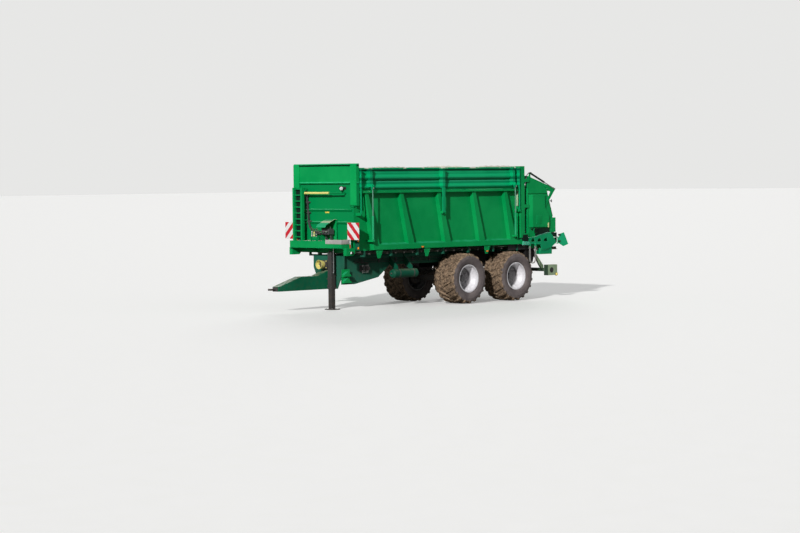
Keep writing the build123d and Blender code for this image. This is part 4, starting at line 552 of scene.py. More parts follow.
class Piece:
    """A mesh built up from simple forms. Places on the right side are given as those of the left."""

    def __init__(self, name, side=None, bm=None):
        self.name = name.format(side)
        self.sign = -1 if side == "right" else 1
        self.bm = bm or bmesh.new()

    def place(self, point):
        return Vector((point[0], self.sign * point[1], point[2]))

    def ease(self, edges, width):
        bmesh.ops.bevel(self.bm, geom=edges, offset=width, segments=2, affect="EDGES", profile=0.6)

    def box(self, low, high, bevel):
        """A box between two corners, its edges eased by bevel."""
        made = bmesh.ops.create_cube(self.bm, size=1.0)
        size = [b - a for a, b in zip(low, high)]
        middle = [(a + b) / 2 for a, b in zip(low, high)]
        matrix = Matrix.LocRotScale(self.place(middle), None, size)
        bmesh.ops.transform(self.bm, matrix=matrix, verts=made["verts"])
        self.ease(list({edge for vert in made["verts"] for edge in vert.link_edges}), bevel)

    def rod(self, start, end, radius, sides=16, end_radius=None, bevel=0.0):
        """A round bar, cone or prism between two points."""
        start, end = self.place(start), self.place(end)
        run = end - start
        matrix = Matrix.Translation((start + end) / 2) @ run.to_track_quat("Z", "Y").to_matrix().to_4x4()
        made = bmesh.ops.create_cone(self.bm, cap_ends=True, segments=sides, radius1=radius,
                                     radius2=radius if end_radius is None else end_radius, depth=run.length,
                                     matrix=matrix)
        if bevel:
            edges = {edge for vert in made["verts"] for edge in vert.link_edges}
            self.ease([edge for edge in edges if any(len(face.verts) > 4 for face in edge.link_faces)], bevel)

    def post(self, x, y, low, high, *form, **ease):
        """An upright rod between two heights."""
        self.rod((x, y, low), (x, y, high), *form, **ease)

    def bolt(self, place, direction, size):
        """A washer, hexagon head and stub of thread."""
        place, direction = Vector(place), Vector(direction)
        for low, high, radius, sides in ((-0.002, 0.003, 1.7 * size, 14),
                                         (0.002, 0.003 + 0.9 * size, size, 6),
                                         (size, 0.006 + 1.2 * size, 0.5 * size, 8)):
            self.rod(place + direction * low, place + direction * high, radius, sides)

    def front_bolts(self, x, places, size):
        """Bolts that face ahead, at pairs of Y and Z."""
        for y, z in places:
            self.bolt((x, y, z), AHEAD, size)

    def side_bolts(self, y, places, size):
        """Bolts that face outward, at pairs of X and Z."""
        for x, z in places:
            self.bolt((x, y, z), OUTWARD, size)

    def loft(self, rows, closed=True, around=False):
        """Faces between rows of points, closed to rings or open. Around joins the last row to the first."""
        rows = [[self.bm.verts.new(self.place(point)) for point in row] for row in rows]
        count = len(rows[0])
        for low, high in zip(rows, rows[1:] + rows[:1] if around else rows[1:]):
            for k in range(count if closed else count - 1):
                after = (k + 1) % count
                self.bm.faces.new((low[k], low[after], high[after], high[k]))
        if not around:
            self.bm.faces.new(rows[0])
            self.bm.faces.new(rows[-1])

    def sheet(self, outline, y_from, y_to):
        """A flat plate with this outline in X and Z, between two distances from the centre plane."""
        self.loft([[(x, y, z) for x, z in outline] for y in (y_from, y_to)])

    def turned(self, centre, axis, profile, sides, around=False):
        """A form turned about the axis X or Y, from pairs of the distance along it and the radius."""
        rows = []
        for along, radius in profile:
            turns = [math.tau * k / sides for k in range(sides)]
            ring = [(along, radius * math.cos(turn), radius * math.sin(turn)) for turn in turns]
            if axis == "Y":
                ring = [(across, along, up) for along, across, up in ring]
            rows.append([Vector(centre) + Vector(point) for point in ring])
        self.loft(rows, around=around)

    def pipe(self, points, radius, sides=10, corner=4):
        """A bent pipe through points, its corners rounded."""
        points = [self.place(point) for point in points]
        path = [points[0]]
        for before, here, after in zip(points, points[1:], points[2:]):
            reach = min((before - here).length, (after - here).length) * 0.35
            first = here + (before - here).normalized() * reach
            last = here + (after - here).normalized() * reach
            for t in (step / corner for step in range(corner + 1)):
                path.append(first * (1 - t) ** 2 + here * 2 * t * (1 - t) + last * t * t)
        path.append(points[-1])
        rows = []
        normal = None
        for before, here, after in zip(path[:1] + path, path, path[1:] + path[-1:]):
            ahead = (after - before).normalized()
            if normal is None:
                normal = ahead.orthogonal().normalized()
            normal = (normal - ahead * normal.dot(ahead)).normalized()
            beside = ahead.cross(normal)
            turns = [math.tau * k / sides for k in range(sides)]
            ring = [here + (normal * math.cos(turn) + beside * math.sin(turn)) * radius for turn in turns]
            # Back to places of the left side, which is what a loft takes
            rows.append([self.place(point) for point in ring])
        self.loft(rows)

    def finish(self, look, body="carrier", smooth=35.0):
        """Make an object of the mesh that rides on a body."""
        bmesh.ops.recalc_face_normals(self.bm, faces=self.bm.faces)
        mesh = bpy.data.meshes.new(self.name)
        self.bm.to_mesh(mesh)
        self.bm.free()
        piece = bpy.data.objects.new(self.name, mesh)
        scene.collection.objects.link(piece)
        mesh.materials.append(look)
        mesh.shade_smooth()
        mesh.set_sharp_from_angle(angle=math.radians(smooth))
        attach(piece, body)
        return piece


# Tyres
RIM_SEAT = 0.3803
TREAD_RADIUS = 0.672
LUG_TOP = 0.7165
LUG_COUNT = 20
LUG_STATIONS = 12
CARCASS_STEPS = 200
CLOD_COUNT = 150
GOLDEN_ANGLE, GOLDEN_RATIO = 2.399963, 0.6180339


def on_wheel(turn, radius, y):
    return Vector((math.cos(turn) * radius, y, math.sin(turn) * radius))


def tyre_section():
    """Radius and distance from the middle plane, from the inner bead round to the outer bead."""
    half = [(RIM_SEAT, 0.322), (0.402, 0.334), (0.408, 0.352), (0.440, 0.374), (0.480, 0.388),
            (0.520, 0.394), (0.545, 0.395), (0.553, 0.3985), (0.561, 0.395), (0.595, 0.390), (0.622, 0.383),
            (0.640, 0.375), (0.652, 0.362), (0.660, 0.342), (0.665, 0.315), (0.668, 0.285)]
    crown = [(TREAD_RADIUS, 0.255 - 0.0255 * number) for number in range(21)]
    return [(r, -y) for r, y in half] + [(r, -y) for r, y in crown] + [(r, y) for r, y in reversed(half)]


def carcass_row(turn):
    """The section at one turn of the wheel, rough with soil over the tread."""
    row = []
    for radius, y in tyre_section():
        place = on_wheel(turn, radius, y)
        if radius > 0.655:
            rough = noise.fractal(place * 9.0, 1.0, 2.0, 4)
            place *= 1.0 + 0.014 * max(-0.3, rough) + 0.006
            place.y = y
        row.append(place)
    return row


def lug_row(start, side, t):
    """One station of a lug, where t runs from past the middle to over the shoulder."""
    y = -0.035 + 0.427 * t
    lead = 0.205 * t ** 0.85
    width = 0.030 + 0.012 * t
    over = max(0.0, (y - 0.335) / 0.057)
    top = LUG_TOP - 0.004 * t - 0.072 * over ** 1.6 - (0.012 if t == 0 else 0.0)
    root = 0.655 - 0.05 * over
    row = []
    for part, radius in ((-1.25, root), (-0.86, top - 0.006), (-0.70, top),
                         (0.70, top), (0.86, top - 0.006), (1.25, root)):
        place = on_wheel(start + (lead + part * width) / LUG_TOP, radius, side * y)
        rough = 1.0 + 0.004 * noise.fractal(place * 22.0 + Vector((3, 1, 7)), 1.0, 2.0, 3)
        row.append(Vector((place.x * rough, place.y, place.z * rough)))
    return row


def build_tyre():
    """A carcass with two rows of slanting lugs and soil caked between them, on the axis Y."""
    tyre = Piece("tyre")
    tyre.loft([carcass_row(math.tau * k / CARCASS_STEPS) for k in range(CARCASS_STEPS)], closed=False,
              around=True)
    for side in (1, -1):
        for number in range(LUG_COUNT):
            start = math.tau * (number + (0.5 if side < 0 else 0.0)) / LUG_COUNT
            stations = [lug_row(start, side, k / LUG_STATIONS) for k in range(LUG_STATIONS + 1)]
            tyre.loft(stations, closed=False)
    # Clods of soil between the lugs
    for number in range(CLOD_COUNT):
        size = 0.016 + 0.016 * abs(noise.random_vector().x)
        y = ((number * GOLDEN_RATIO) % 1.0 - 0.5) * 0.66
        centre = on_wheel((number * GOLDEN_ANGLE) % math.tau, 0.676, y)
        for vert in bmesh.ops.create_icosphere(tyre.bm, subdivisions=2, radius=size)["verts"]:
            bumpy = 1.0 + 0.45 * noise.noise(vert.co * 40 + centre * 50)
            vert.co = Vector((vert.co.x, vert.co.y * 1.3, vert.co.z)) * bumpy + centre
    return tyre.bm


noise.seed_set(7)
tyre_source = build_tyre()
for row_number, row in enumerate(("front", "rear")):
    for side in SIDES:
        tread = Piece("tread_tyre_" + row + "_{}", side, tyre_source.copy())
        turn = Matrix.Rotation(0.4 * row_number + 0.9 * (side == "right"), 4, "Y")
        flip = Matrix.Scale(tread.sign, 4, OUTWARD)
        shift = Matrix.Translation((WHEEL_X[row_number], tread.sign * WHEEL_Y, WHEEL_Z))
        bmesh.ops.transform(tread.bm, matrix=shift @ flip @ turn, verts=tread.bm.verts)
        wheel = "wheel_" + row + "_" + side
        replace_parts(tread.finish(tyre_rubber, wheel, 40), "tyre_" + row + "_" + side)
tyre_source.free()


# Lamps, markers and small plates
def side_marker(name, side, x, y, z):
    """An amber marker lamp in a black base, on a face turned outward."""
    base = Piece(name + "_base", side)
    base.box((x - 0.055, y, z - 0.024), (x + 0.055, y + 0.012, z + 0.024), 0.004)
    base.side_bolts(y + 0.012, ((x - 0.045, z), (x + 0.045, z)), 0.004)
    base.finish(black_plastic)
    lens = Piece(name + "_lens", side)
    lens.box((x - 0.036, y + 0.010, z - 0.018), (x + 0.036, y + 0.030, z + 0.018), 0.006)
    lens.finish(amber)


def round_lamp(name, place, direction, radius, lens_look, side=None):
    """A round lamp: black bowl, bezel and lens."""
    place, direction = Vector(place), Vector(direction).normalized()
    bowl = Piece(name + "_bowl", side)
    bowl.rod(place - direction * 0.06, place - direction * 0.02, radius * 0.55, 20, radius * 0.95)
    bowl.rod(place - direction * 0.021, place + direction * 0.008, radius, 24, bevel=0.004)
    bowl.finish(black_plastic)
    lens = Piece(name + "_lens", side)
    lens.rod(place + direction * 0.004, place + direction * 0.018, radius * 0.86, 24, radius * 0.72,
             bevel=0.003)
    lens.finish(lens_look)


MARKER_PLATE_X = WALL_X - 0.054
LAMP_BOX_X = POST_X - 1.41
SIDE_LAMP = ((0.0, 0.076), (0.006, 0.080), (0.008, 0.074), (-0.004, 0.066), (-0.050, 0.050), (-0.056, 0.020))

# Work lamp high on the front wall
round_lamp("work_lamp", (WALL_X + 0.13, 0.76, 3.325), (0.42, 0.80, -0.42), 0.062, white_lens)
bracket = Piece("work_lamp_bracket")
bracket.box((WALL_X, 0.70, 3.29), (WALL_X + 0.012, 0.82, 3.37), 0.003)
bracket.box((WALL_X + 0.008, 0.752, 3.315), (WALL_X + 0.085, 0.768, 3.345), 0.003)
bracket.front_bolts(WALL_X + 0.012, ((0.715, 3.33), (0.805, 3.33)), 0.006)
bracket.finish(black_plastic)

for side in SIDES:
    side_marker("marker_{}_1", side, 0.75, CHEEK_Y, 1.668)
    side_marker("marker_{}_2", side, -1.90, SKIN_RIB_Y, 1.470)
    # A plate on the front edge of the side wall carries two more; the plate's dark green is painted shade
    plate = Piece("marker_plate_{}", side)
    plate.box((MARKER_PLATE_X, 1.105, 1.645), (MARKER_PLATE_X + 0.006, 1.262, 1.955), 0.002)
    plate.front_bolts(MARKER_PLATE_X + 0.006, [(1.135, z) for z in (1.665, 1.80, 1.935)], 0.008)
    plate.finish(painted_shade_green)
    for number, z in enumerate((1.70, 1.90), 1):
        reflector = Piece("front_reflector_{}_%d" % number, side)
        reflector.box((MARKER_PLATE_X + 0.006, 1.215, z - 0.03), (MARKER_PLATE_X + 0.024, 1.258, z + 0.03),
                      0.006)
        reflector.finish(amber)
    # Rear lamps in the lamp boxes, one at each outer lower corner and a black one in each side
    for name, look, low, high in (("rear_lamp_{}", red_lens, 0.80, 0.90),
                                  ("turn_lamp_{}", amber, 0.715, 0.785)):
        lamp = Piece(name, side)
        lamp.box((LAMP_BOX_X, 1.06, low), (LAMP_BOX_X + 0.03, 1.18, high), 0.01)
        lamp.finish(look)
    round_lamp("outer_lamp_{}", (POST_X - 1.425, 1.222, 0.702), (0.15, 1.0, 0), 0.050, yellow_lens, side)
    lamp = Piece("side_lamp_{}", side)
    lamp.turned((POST_X - 1.235, 1.200, 0.829), "Y", SIDE_LAMP, 32)
    lamp.finish(black_plastic)
    # Front position lamps on brackets outside the carrier
    round_lamp("front_lamp_{}", (WALL_X + 0.20, 1.215, 1.575), AHEAD, 0.036, white_lens, side)
    bracket = Piece("front_lamp_bracket_{}", side)
    bracket.box((WALL_X + 0.125, 1.158, 1.555), (WALL_X + 0.131, 1.235, 1.600), 0.002)
    bracket.box((WALL_X + 0.10, 1.1602, 1.545), (WALL_X + 0.18, 1.166, 1.610), 0.002)
    bracket.bolt((WALL_X + 0.16, 1.166, 1.58), OUTWARD, 0.008)
    bracket.finish(black_plastic)
    # Bare plates on the drive cover
    plate = Piece("bare_plate_cheek_{}", side)
    plate.box((POST_X - 1.035, CHEEK_Y + 0.044, 2.125), (POST_X - 1.000, CHEEK_Y + 0.047, 2.235), 0.001)
    plate.box((POST_X - 0.60, CHEEK_Y + 0.044, 2.155), (POST_X - 0.50, CHEEK_Y + 0.047, 2.195), 0.001)
    plate.finish(label_yellow)

plate = Piece("bare_plate_front")
plate.box((WALL_X, -0.03, 2.650), (WALL_X + 0.004, 0.13, 2.712), 0.0015)
for y in (-0.018, 0.118):
    plate.rod((WALL_X + 0.003, y, 2.681), (WALL_X + 0.007, y, 2.681), 0.004, 8)
plate.finish(label_yellow)

# Yellow sleeve on the grab bar, with a collar on each end
BAR_X, BAR_Z = WALL_X + 0.19, 3.2
sleeve = Piece("grab_bar_sleeve")
for y_from, y_to, radius, bevel in ((-0.64, 0.33, 0.031, 0.006), (-0.645, -0.627, 0.035, 0.004),
                                    (0.318, 0.336, 0.035, 0.004)):
    sleeve.rod((BAR_X, y_from, BAR_Z), (BAR_X, y_to, BAR_Z), radius, 20, bevel=bevel)
sleeve.finish(yellow)

# Hydraulic lines down the wall from the grab bar, behind the ladder and into the hood
LINE_X = WALL_X + 0.055
for number, shift in enumerate((0.0, 0.042), 1):
    line = Piece("wall_line_%d" % number)
    route = ((-0.735 + shift, 3.10), (-0.700 + shift, 2.70), (-0.665 + shift, 2.36),
             (-0.600 + shift, 2.20 + shift), (-0.40, 2.09 + shift), (-0.10, 2.05 + shift),
             (0.128, 2.05 + shift))
    line.pipe([(LINE_X, y, z) for y, z in route], 0.013, 12, 6)
    line.rod((LINE_X, -0.735 + shift, 3.085), (LINE_X, -0.738 + shift, 3.135), 0.018, 6)
    line.rod((LINE_X, 0.095, 2.05 + shift), (LINE_X, 0.129, 2.05 + shift), 0.018, 6)
    line.finish(hose_black)
clamps = Piece("wall_line_clamps")
for y, z in ((-0.70, 2.95), (-0.672, 2.66), (-0.635, 2.42), (-0.25, 2.09)):
    clamps.box((WALL_X, y - 0.022, z - 0.016), (WALL_X + 0.042, y + 0.072, z + 0.016), 0.004)
    clamps.box((WALL_X + 0.040, y - 0.055, z - 0.014), (WALL_X + 0.072, y + 0.075, z + 0.014), 0.004)
    clamps.bolt((WALL_X + 0.072, y + 0.010, z), AHEAD, 0.007)
clamps.box((WALL_X, -0.79, 3.118), (WALL_X + 0.090, -0.655, 3.150), 0.004)
clamps.finish(dark_steel)

# Top sheet of the valve hood, with its near edge rolled and a pale band of dust and painted highlight on its
# upper part. Each bend has its distance ahead of the wall and its height over the platform
HOOD_TOP = ((0.050, 0.5785), (0.140, 0.5885), (0.450, 0.4385), (0.4905, 0.3785))
HOOD_RIGHT, HOOD_LEFT = 0.128, 0.486
HOOD_CORNERS = ((0.0, HOOD_RIGHT, 0.0), (0.002, HOOD_RIGHT, 0.004), (0.002, HOOD_LEFT, 0.004),
                (0.0, HOOD_LEFT, 0.0))
hood = Piece("hood_top_sheet")
hood.loft([[(WALL_X + ahead + dx, y, PLATFORM_Z + rise + dz) for dx, y, dz in HOOD_CORNERS]
           for ahead, rise in HOOD_TOP])
for (x_from, z_from), (x_to, z_to) in zip(HOOD_TOP, HOOD_TOP[1:]):
    hood.pipe([(WALL_X + x_from + t * (x_to - x_from), HOOD_LEFT,
                PLATFORM_Z + 0.0005 + z_from + t * (z_to - z_from)) for t in (0.0, 0.5, 1.0)], 0.006, 8, 2)
hood.finish(sand_cap)

# Ferrules, collars and caps of the supply hoses
PORT_X, PORT_Z = WALL_X + 0.362, 2.147
COUPLER_X = WALL_X + 0.350
collars = Piece("supply_collars")
for y in SUPPLY_PORTS:
    collars.rod((PORT_X, y, PORT_Z), (PORT_X + 0.030, y, PORT_Z), 0.020, 6, bevel=0.002)
    collars.rod((PORT_X + 0.028, y, PORT_Z), (PORT_X + 0.063, y, PORT_Z), 0.0125, bevel=0.002)
for y in COUPLERS:
    collars.post(COUPLER_X, y, 2.002, 2.022, 0.023, 6, bevel=0.002)
    collars.post(COUPLER_X, y, 2.062, 2.092, 0.019, 20, bevel=0.003)
collars.finish(zinc)
for number, (y, look) in enumerate(zip(COUPLERS, (hose_black, yellow, zinc)), 1):
    grip = Piece("supply_grip_%d" % number)
    grip.post(COUPLER_X, y, 2.026, 2.058, 0.026, 20, bevel=0.004)
    grip.post(COUPLER_X, y, 2.094, 2.165, 0.0165, 16, 0.0125, bevel=0.003)
    grip.finish(look)

# Tread plate cover over the kick plate round the left front corner of the platform
KICK_X, KICK_Y = WALL_X + 0.4165, 1.0565
KICK_LOW, KICK_TOP = 1.815, 1.932
BAR_LEAN = 0.008
cover = Piece("kick_plate_cover")
cover.box((KICK_X, 0.412, KICK_LOW), (KICK_X + 0.004, KICK_Y + 0.004, KICK_TOP), 0.0015)
cover.box((KICK_X - 0.022, 0.412, KICK_TOP - 0.0045), (KICK_X + 0.001, KICK_Y + 0.004, KICK_TOP), 0.0015)
cover.box((WALL_X + 0.058, KICK_Y, KICK_LOW), (KICK_X + 0.004, KICK_Y + 0.004, KICK_TOP), 0.0015)
for row, z in enumerate((1.838, 1.862, 1.886, 1.910)):
    for k in range(12):
        y = 0.44 + 0.0505 * k + 0.025 * (row % 2)
        lean = BAR_LEAN if (row + k) % 2 else -BAR_LEAN
        cover.rod((KICK_X + 0.0045, y - 0.012, z - lean), (KICK_X + 0.0045, y + 0.012, z + lean), 0.0028, 6)
    for k in range(6):
        x = WALL_X + 0.09 + 0.054 * k + 0.027 * (row % 2)
        lean = BAR_LEAN if (row + k) % 2 else -BAR_LEAN
        cover.rod((x - 0.012, KICK_Y + 0.0045, z - lean), (x + 0.012, KICK_Y + 0.0045, z + lean), 0.0028, 6)
cover.finish(dusty_metal)

# Tread bars on top of the platform, clear of the hood, the coupler rack and the ladder
tread = Piece("platform_tread_bars")
for row in range(9):
    for k in range(24):
        x = WALL_X + 0.045 + 0.040 * row
        y = -1.01 + 0.085 * k + 0.042 * (row % 2)
        at_rack = x > WALL_X + 0.29 and -0.28 < y < 0.10
        at_ladder = x > WALL_X + 0.14 and y < -0.64
        if y > 0.99 or 0.08 < y < 0.53 or at_rack or at_ladder:
            continue
        turn = 0.014 if (row + k) % 2 else -0.014
        tread.rod((x - 0.014, y - turn, PLATFORM_Z - 0.0005), (x + 0.014, y + turn, PLATFORM_Z - 0.0005),
                  0.0032, 6)
tread.finish(dusty_metal)

# Bolts along the skirt of the platform and up the corner posts
bolts = Piece("front_bolts")
bolts.front_bolts(WALL_X + 0.410, [(-0.94 + 0.235 * k, 1.745) for k in range(9)], 0.010)
bolts.front_bolts(WALL_X + 0.030, [(y, z) for y in (1.235, -1.235) for z in (2.80, 3.10, 3.40)], 0.010)
bolts.finish(green)

# Folded covers over the front wall's corner posts, with a near-black strip at the near one's inner edge: a
# painted shadow line
POST_FACE_X = WALL_X + 0.0302
COVER_X = WALL_X + 0.052
for side in SIDES:
    cover = Piece("post_cover_{}", side)
    cover.sheet(((POST_FACE_X, 2.864), (3.284, 2.864), (COVER_X, 2.872), (COVER_X, 3.976), (3.284, 3.986),
                 (POST_FACE_X, 3.988)), 1.036, 1.271)
    cover.front_bolts(COVER_X, [(1.235, z) for z in (2.96, 3.26, 3.56, 3.86)], 0.007)
    cover.finish(post_green)
shadow_line = Piece("post_shadow_strip")
shadow_line.sheet(((3.244, 2.83), (3.2695, 2.83), (3.2695, 3.936), (3.262, 3.942), (3.244, 3.942)), 1.012, 1.0295)
shadow_line.sheet(((POST_FACE_X, 2.858), (3.286, 2.858), (3.286, 3.930), (3.280, 3.936), (POST_FACE_X, 3.936)),
           1.030, 1.0355)
shadow_line.finish(dark_seal_and_painted_shade)

# Back sheet of the ladder, between its rails, near-black: painted shade in the gaps between the rungs
LADDER_X = WALL_X + 0.189
sheet = Piece("ladder_shade_sheet")
sheet.box((LADDER_X - 0.004, -1.055, 1.93), (LADDER_X, -0.715, 3.30), 0.001)
sheet.front_bolts(LADDER_X, [(y, z) for z in (1.96, 2.30, 2.64, 2.98, 3.27) for y in (-1.03, -0.74)], 0.008)
sheet.finish(dark_seal_and_painted_shade)

# Head, crank and foot of the jack
JACK_X, JACK_Y = 3.30, 0.262
CRANK_X, CRANK_Y = JACK_X + 0.035, JACK_Y + 0.122
FOOT_TOP = 0.024
JACK_BANDS = ((-0.081, -0.081, 0.081, -0.0755), (-0.081, 0.0755, 0.081, 0.081),
              (0.0755, -0.081, 0.081, 0.081))
head = Piece("jack_head")
head.box((JACK_X - 0.083, JACK_Y - 0.083, 1.538), (JACK_X + 0.083, JACK_Y + 0.083, 1.562), 0.004)
head.box((JACK_X - 0.058, JACK_Y - 0.050, 1.560), (JACK_X + 0.058, JACK_Y + 0.050, 1.628), 0.010)
for dx in (-0.064, 0.064):
    for dy in (-0.064, 0.064):
        head.bolt((JACK_X + dx, JACK_Y + dy, 1.562), UPWARD, 0.009)
for z in (0.585, 1.500):
    for left, low, right, high in JACK_BANDS:
        head.box((JACK_X + left, JACK_Y + low, z), (JACK_X + right, JACK_Y + high, z + 0.030), 0.002)
head.finish(jack_grey)
crank = Piece("jack_crank")
crank.rod((JACK_X, JACK_Y + 0.050, 1.594), (JACK_X, JACK_Y + 0.118, 1.594), 0.014, 14, bevel=0.002)
crank.pipe([(CRANK_X, CRANK_Y, z) for z in (1.69, 1.60, 1.0)], 0.012, 12, 4)
crank.box((JACK_X - 0.016, JACK_Y + 0.106, 1.578), (JACK_X + 0.050, JACK_Y + 0.116, 1.612), 0.003)
for z in (1.02, 1.30, 1.665):
    crank.post(CRANK_X, CRANK_Y, z - 0.018, z + 0.018, 0.018, 14, bevel=0.003)
crank.finish(chrome)
clips = Piece("jack_crank_clips")
for z in (1.02, 1.30):
    clips.box((JACK_X + 0.016, JACK_Y + 0.0755, z - 0.010), (JACK_X + 0.054, JACK_Y + 0.110, z + 0.010),
              0.003)
clips.finish(dark_steel)
foot_low, foot_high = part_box("jack_leg")
bolts = Piece("jack_foot_bolts")
for x in (foot_low[0] + 0.03, foot_high[0] - 0.03):
    for y in (foot_low[1] + 0.03, foot_high[1] - 0.03):
        bolts.bolt((x, y, FOOT_TOP), UPWARD, 0.011)
bolts.finish(zinc, "jack")

# Shield round the input shaft
GEARBOX_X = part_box("input_gearbox")[1][0]
SHAFT_Z = 1.24
SHIELD = ((-0.030, 0.098), (-0.030, 0.104), (0.050, 0.118), (0.115, 0.125), (0.115, 0.119), (0.050, 0.112))
shield = Piece("shaft_shield")
shield.front_bolts(GEARBOX_X - 0.062, [(y, SHAFT_Z + dz) for y in (-0.105, 0.105) for dz in (-0.088, 0.088)],
                   0.010)
shield.turned((GEARBOX_X, 0, SHAFT_Z), "X", SHIELD, 28, around=True)
shield.finish(yellow)

# Pipes along both beams of the chassis, and the brake valves and their fittings on the left one
VALVE_Y = 0.60
VALVE_XS = (2.225, 2.27, 2.315, 2.40, 2.455)
for side in SIDES:
    lines = Piece("chassis_lines_{}", side)
    for number, z in enumerate((1.36, 1.315, 1.27)):
        lines.pipe([(x, 0.562 + 0.004 * number, z) for x in (2.75, 1.2, -0.3, -3.2)], 0.0075, 8, 2)
    lines.finish(hose_black)
    clips = Piece("chassis_line_clips_{}", side)
    for x in (2.45 - 0.66 * k for k in range(9)):
        clips.box((x - 0.016, 0.545, 1.250), (x + 0.016, 0.580, 1.380), 0.003)
        clips.bolt((x, 0.580, 1.315), OUTWARD, 0.007)
    clips.finish(dark_steel)
valves = Piece("brake_valves")
valves.box((2.16, 0.545, 1.02), (2.52, 0.556, 1.20), 0.003)
valves.box((2.20, 0.556, 1.06), (2.34, 0.640, 1.16), 0.010)
valves.rod((2.43, 0.556, 1.11), (2.43, 0.650, 1.11), 0.048, 22, bevel=0.006)
valves.finish(dark_steel)
fittings = Piece("brake_valve_fittings")
for x in VALVE_XS:
    fittings.post(x, VALVE_Y, 1.155, 1.205, 0.012, 6)
    fittings.post(x, VALVE_Y, 1.020, 1.064, 0.012, 6)
    fittings.post(x, VALVE_Y, 0.990, 1.022, 0.009, 12)
fittings.finish(zinc)
pipes = Piece("brake_valve_pipes")
for number, x in enumerate(VALVE_XS):
    rise = 0.045 * (number % 3)
    pipes.pipe([(x, VALVE_Y, 1.20), (x, VALVE_Y, 1.235), (x + 0.06, VALVE_Y - 0.008 * number, 1.262),
                (x + 0.18, 0.575, 1.268 + rise), (x + 0.26, 0.566, 1.270 + rise)], 0.008)
pipes.finish(hose_black)

# Valve on the end of the air tank, its straps and its drain
TANK_Y, TANK_Z = 0.85, 0.94
STRAP = ((-0.016, 0.1245), (-0.016, 0.1275), (0.016, 0.1275), (0.016, 0.1245))
tank_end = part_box("air_tank")[1][0]
straps = Piece("air_tank_straps")
straps.rod((tank_end - 0.004, TANK_Y, TANK_Z), (tank_end + 0.030, TANK_Y, TANK_Z), 0.020, 6)
for x in (1.33, 0.79):
    straps.turned((x, TANK_Y, TANK_Z), "X", STRAP, 36, around=True)
straps.post(1.06, TANK_Y, 0.800, 0.820, 0.014, 6)
straps.finish(dark_steel)

# Bolts of the side walls and the rear posts, and a pale plate on each rear post
for side in SIDES:
    bolts = Piece("side_bolts_{}", side)
    for rib_x in (WALL_X - 0.740, WALL_X - 2.590, POST_X + 1.665):
        places = [(rib_x + dx, z) for dx in (-0.045, -0.190) for z in (1.585, 1.510)]
        bolts.side_bolts(SKIN_RIB_Y, places, 0.011)
    bolts.side_bolts(CHEEK_Y, [(2.25 - 0.46 * k, 1.655) for k in range(13)], 0.008)
    bolts.finish(green)
    # A pale plate on the front face of each rear post
    reflector = Piece("post_pale_plate_{}", side)
    reflector.box((POST_X + 0.1855, 1.118, 2.742), (POST_X + 0.1895, 1.200, 3.190), 0.0015)
    reflector.finish(pale_patch_paint)
    bolts = Piece("post_bolts_{}", side)
    bolts.front_bolts(POST_X + 0.185, ((1.159, 2.725), (1.159, 3.207)), 0.007)
    bolts.side_bolts(1.275, [(POST_X + 0.095, z) for z in (1.95, 2.30, 2.62, 3.40, 3.62, 3.84)], 0.011)
    bolts.finish(green)

# Plates and rubber round the spreading table: outlines in X and Z
DARK_PLATE_OUTLINE = ((-3.70, 2.074), (-3.84, 1.985), (-3.93, 1.83), (-4.50, 1.90), (-4.555, 1.96), (-4.54, 2.074))
GUSSET = ((-3.640, 2.074), (-3.700, 2.074), (-3.840, 1.985), (-3.930, 1.83), (-3.930, 1.80), (-3.640, 1.80))
DEFLECTOR_TOP = ((-3.50, 1.802), (-3.80, 1.818), (-4.42, 1.940), (-4.60, 1.940))
FOOT_PAD = ((-3.365, 1.905), (-3.345, 1.80), (-3.385, 1.715), (-3.560, 1.700), (-3.585, 1.79),
            (-3.555, 1.905))
RAIL_TIP = ((-3.375, 1.715), (-3.360, 1.605), (-3.610, 1.598), (-3.640, 1.64), (-3.600, 1.700))
MUDFLAP = ((-3.700, 1.500), (-4.040, 1.500), (-4.040, 1.280), (-3.975, 1.080), (-3.930, 1.050),
           (-3.700, 1.040))
CAP_X, CAP_Z, CAP_BOLTS = -3.94, 2.01, 0.062

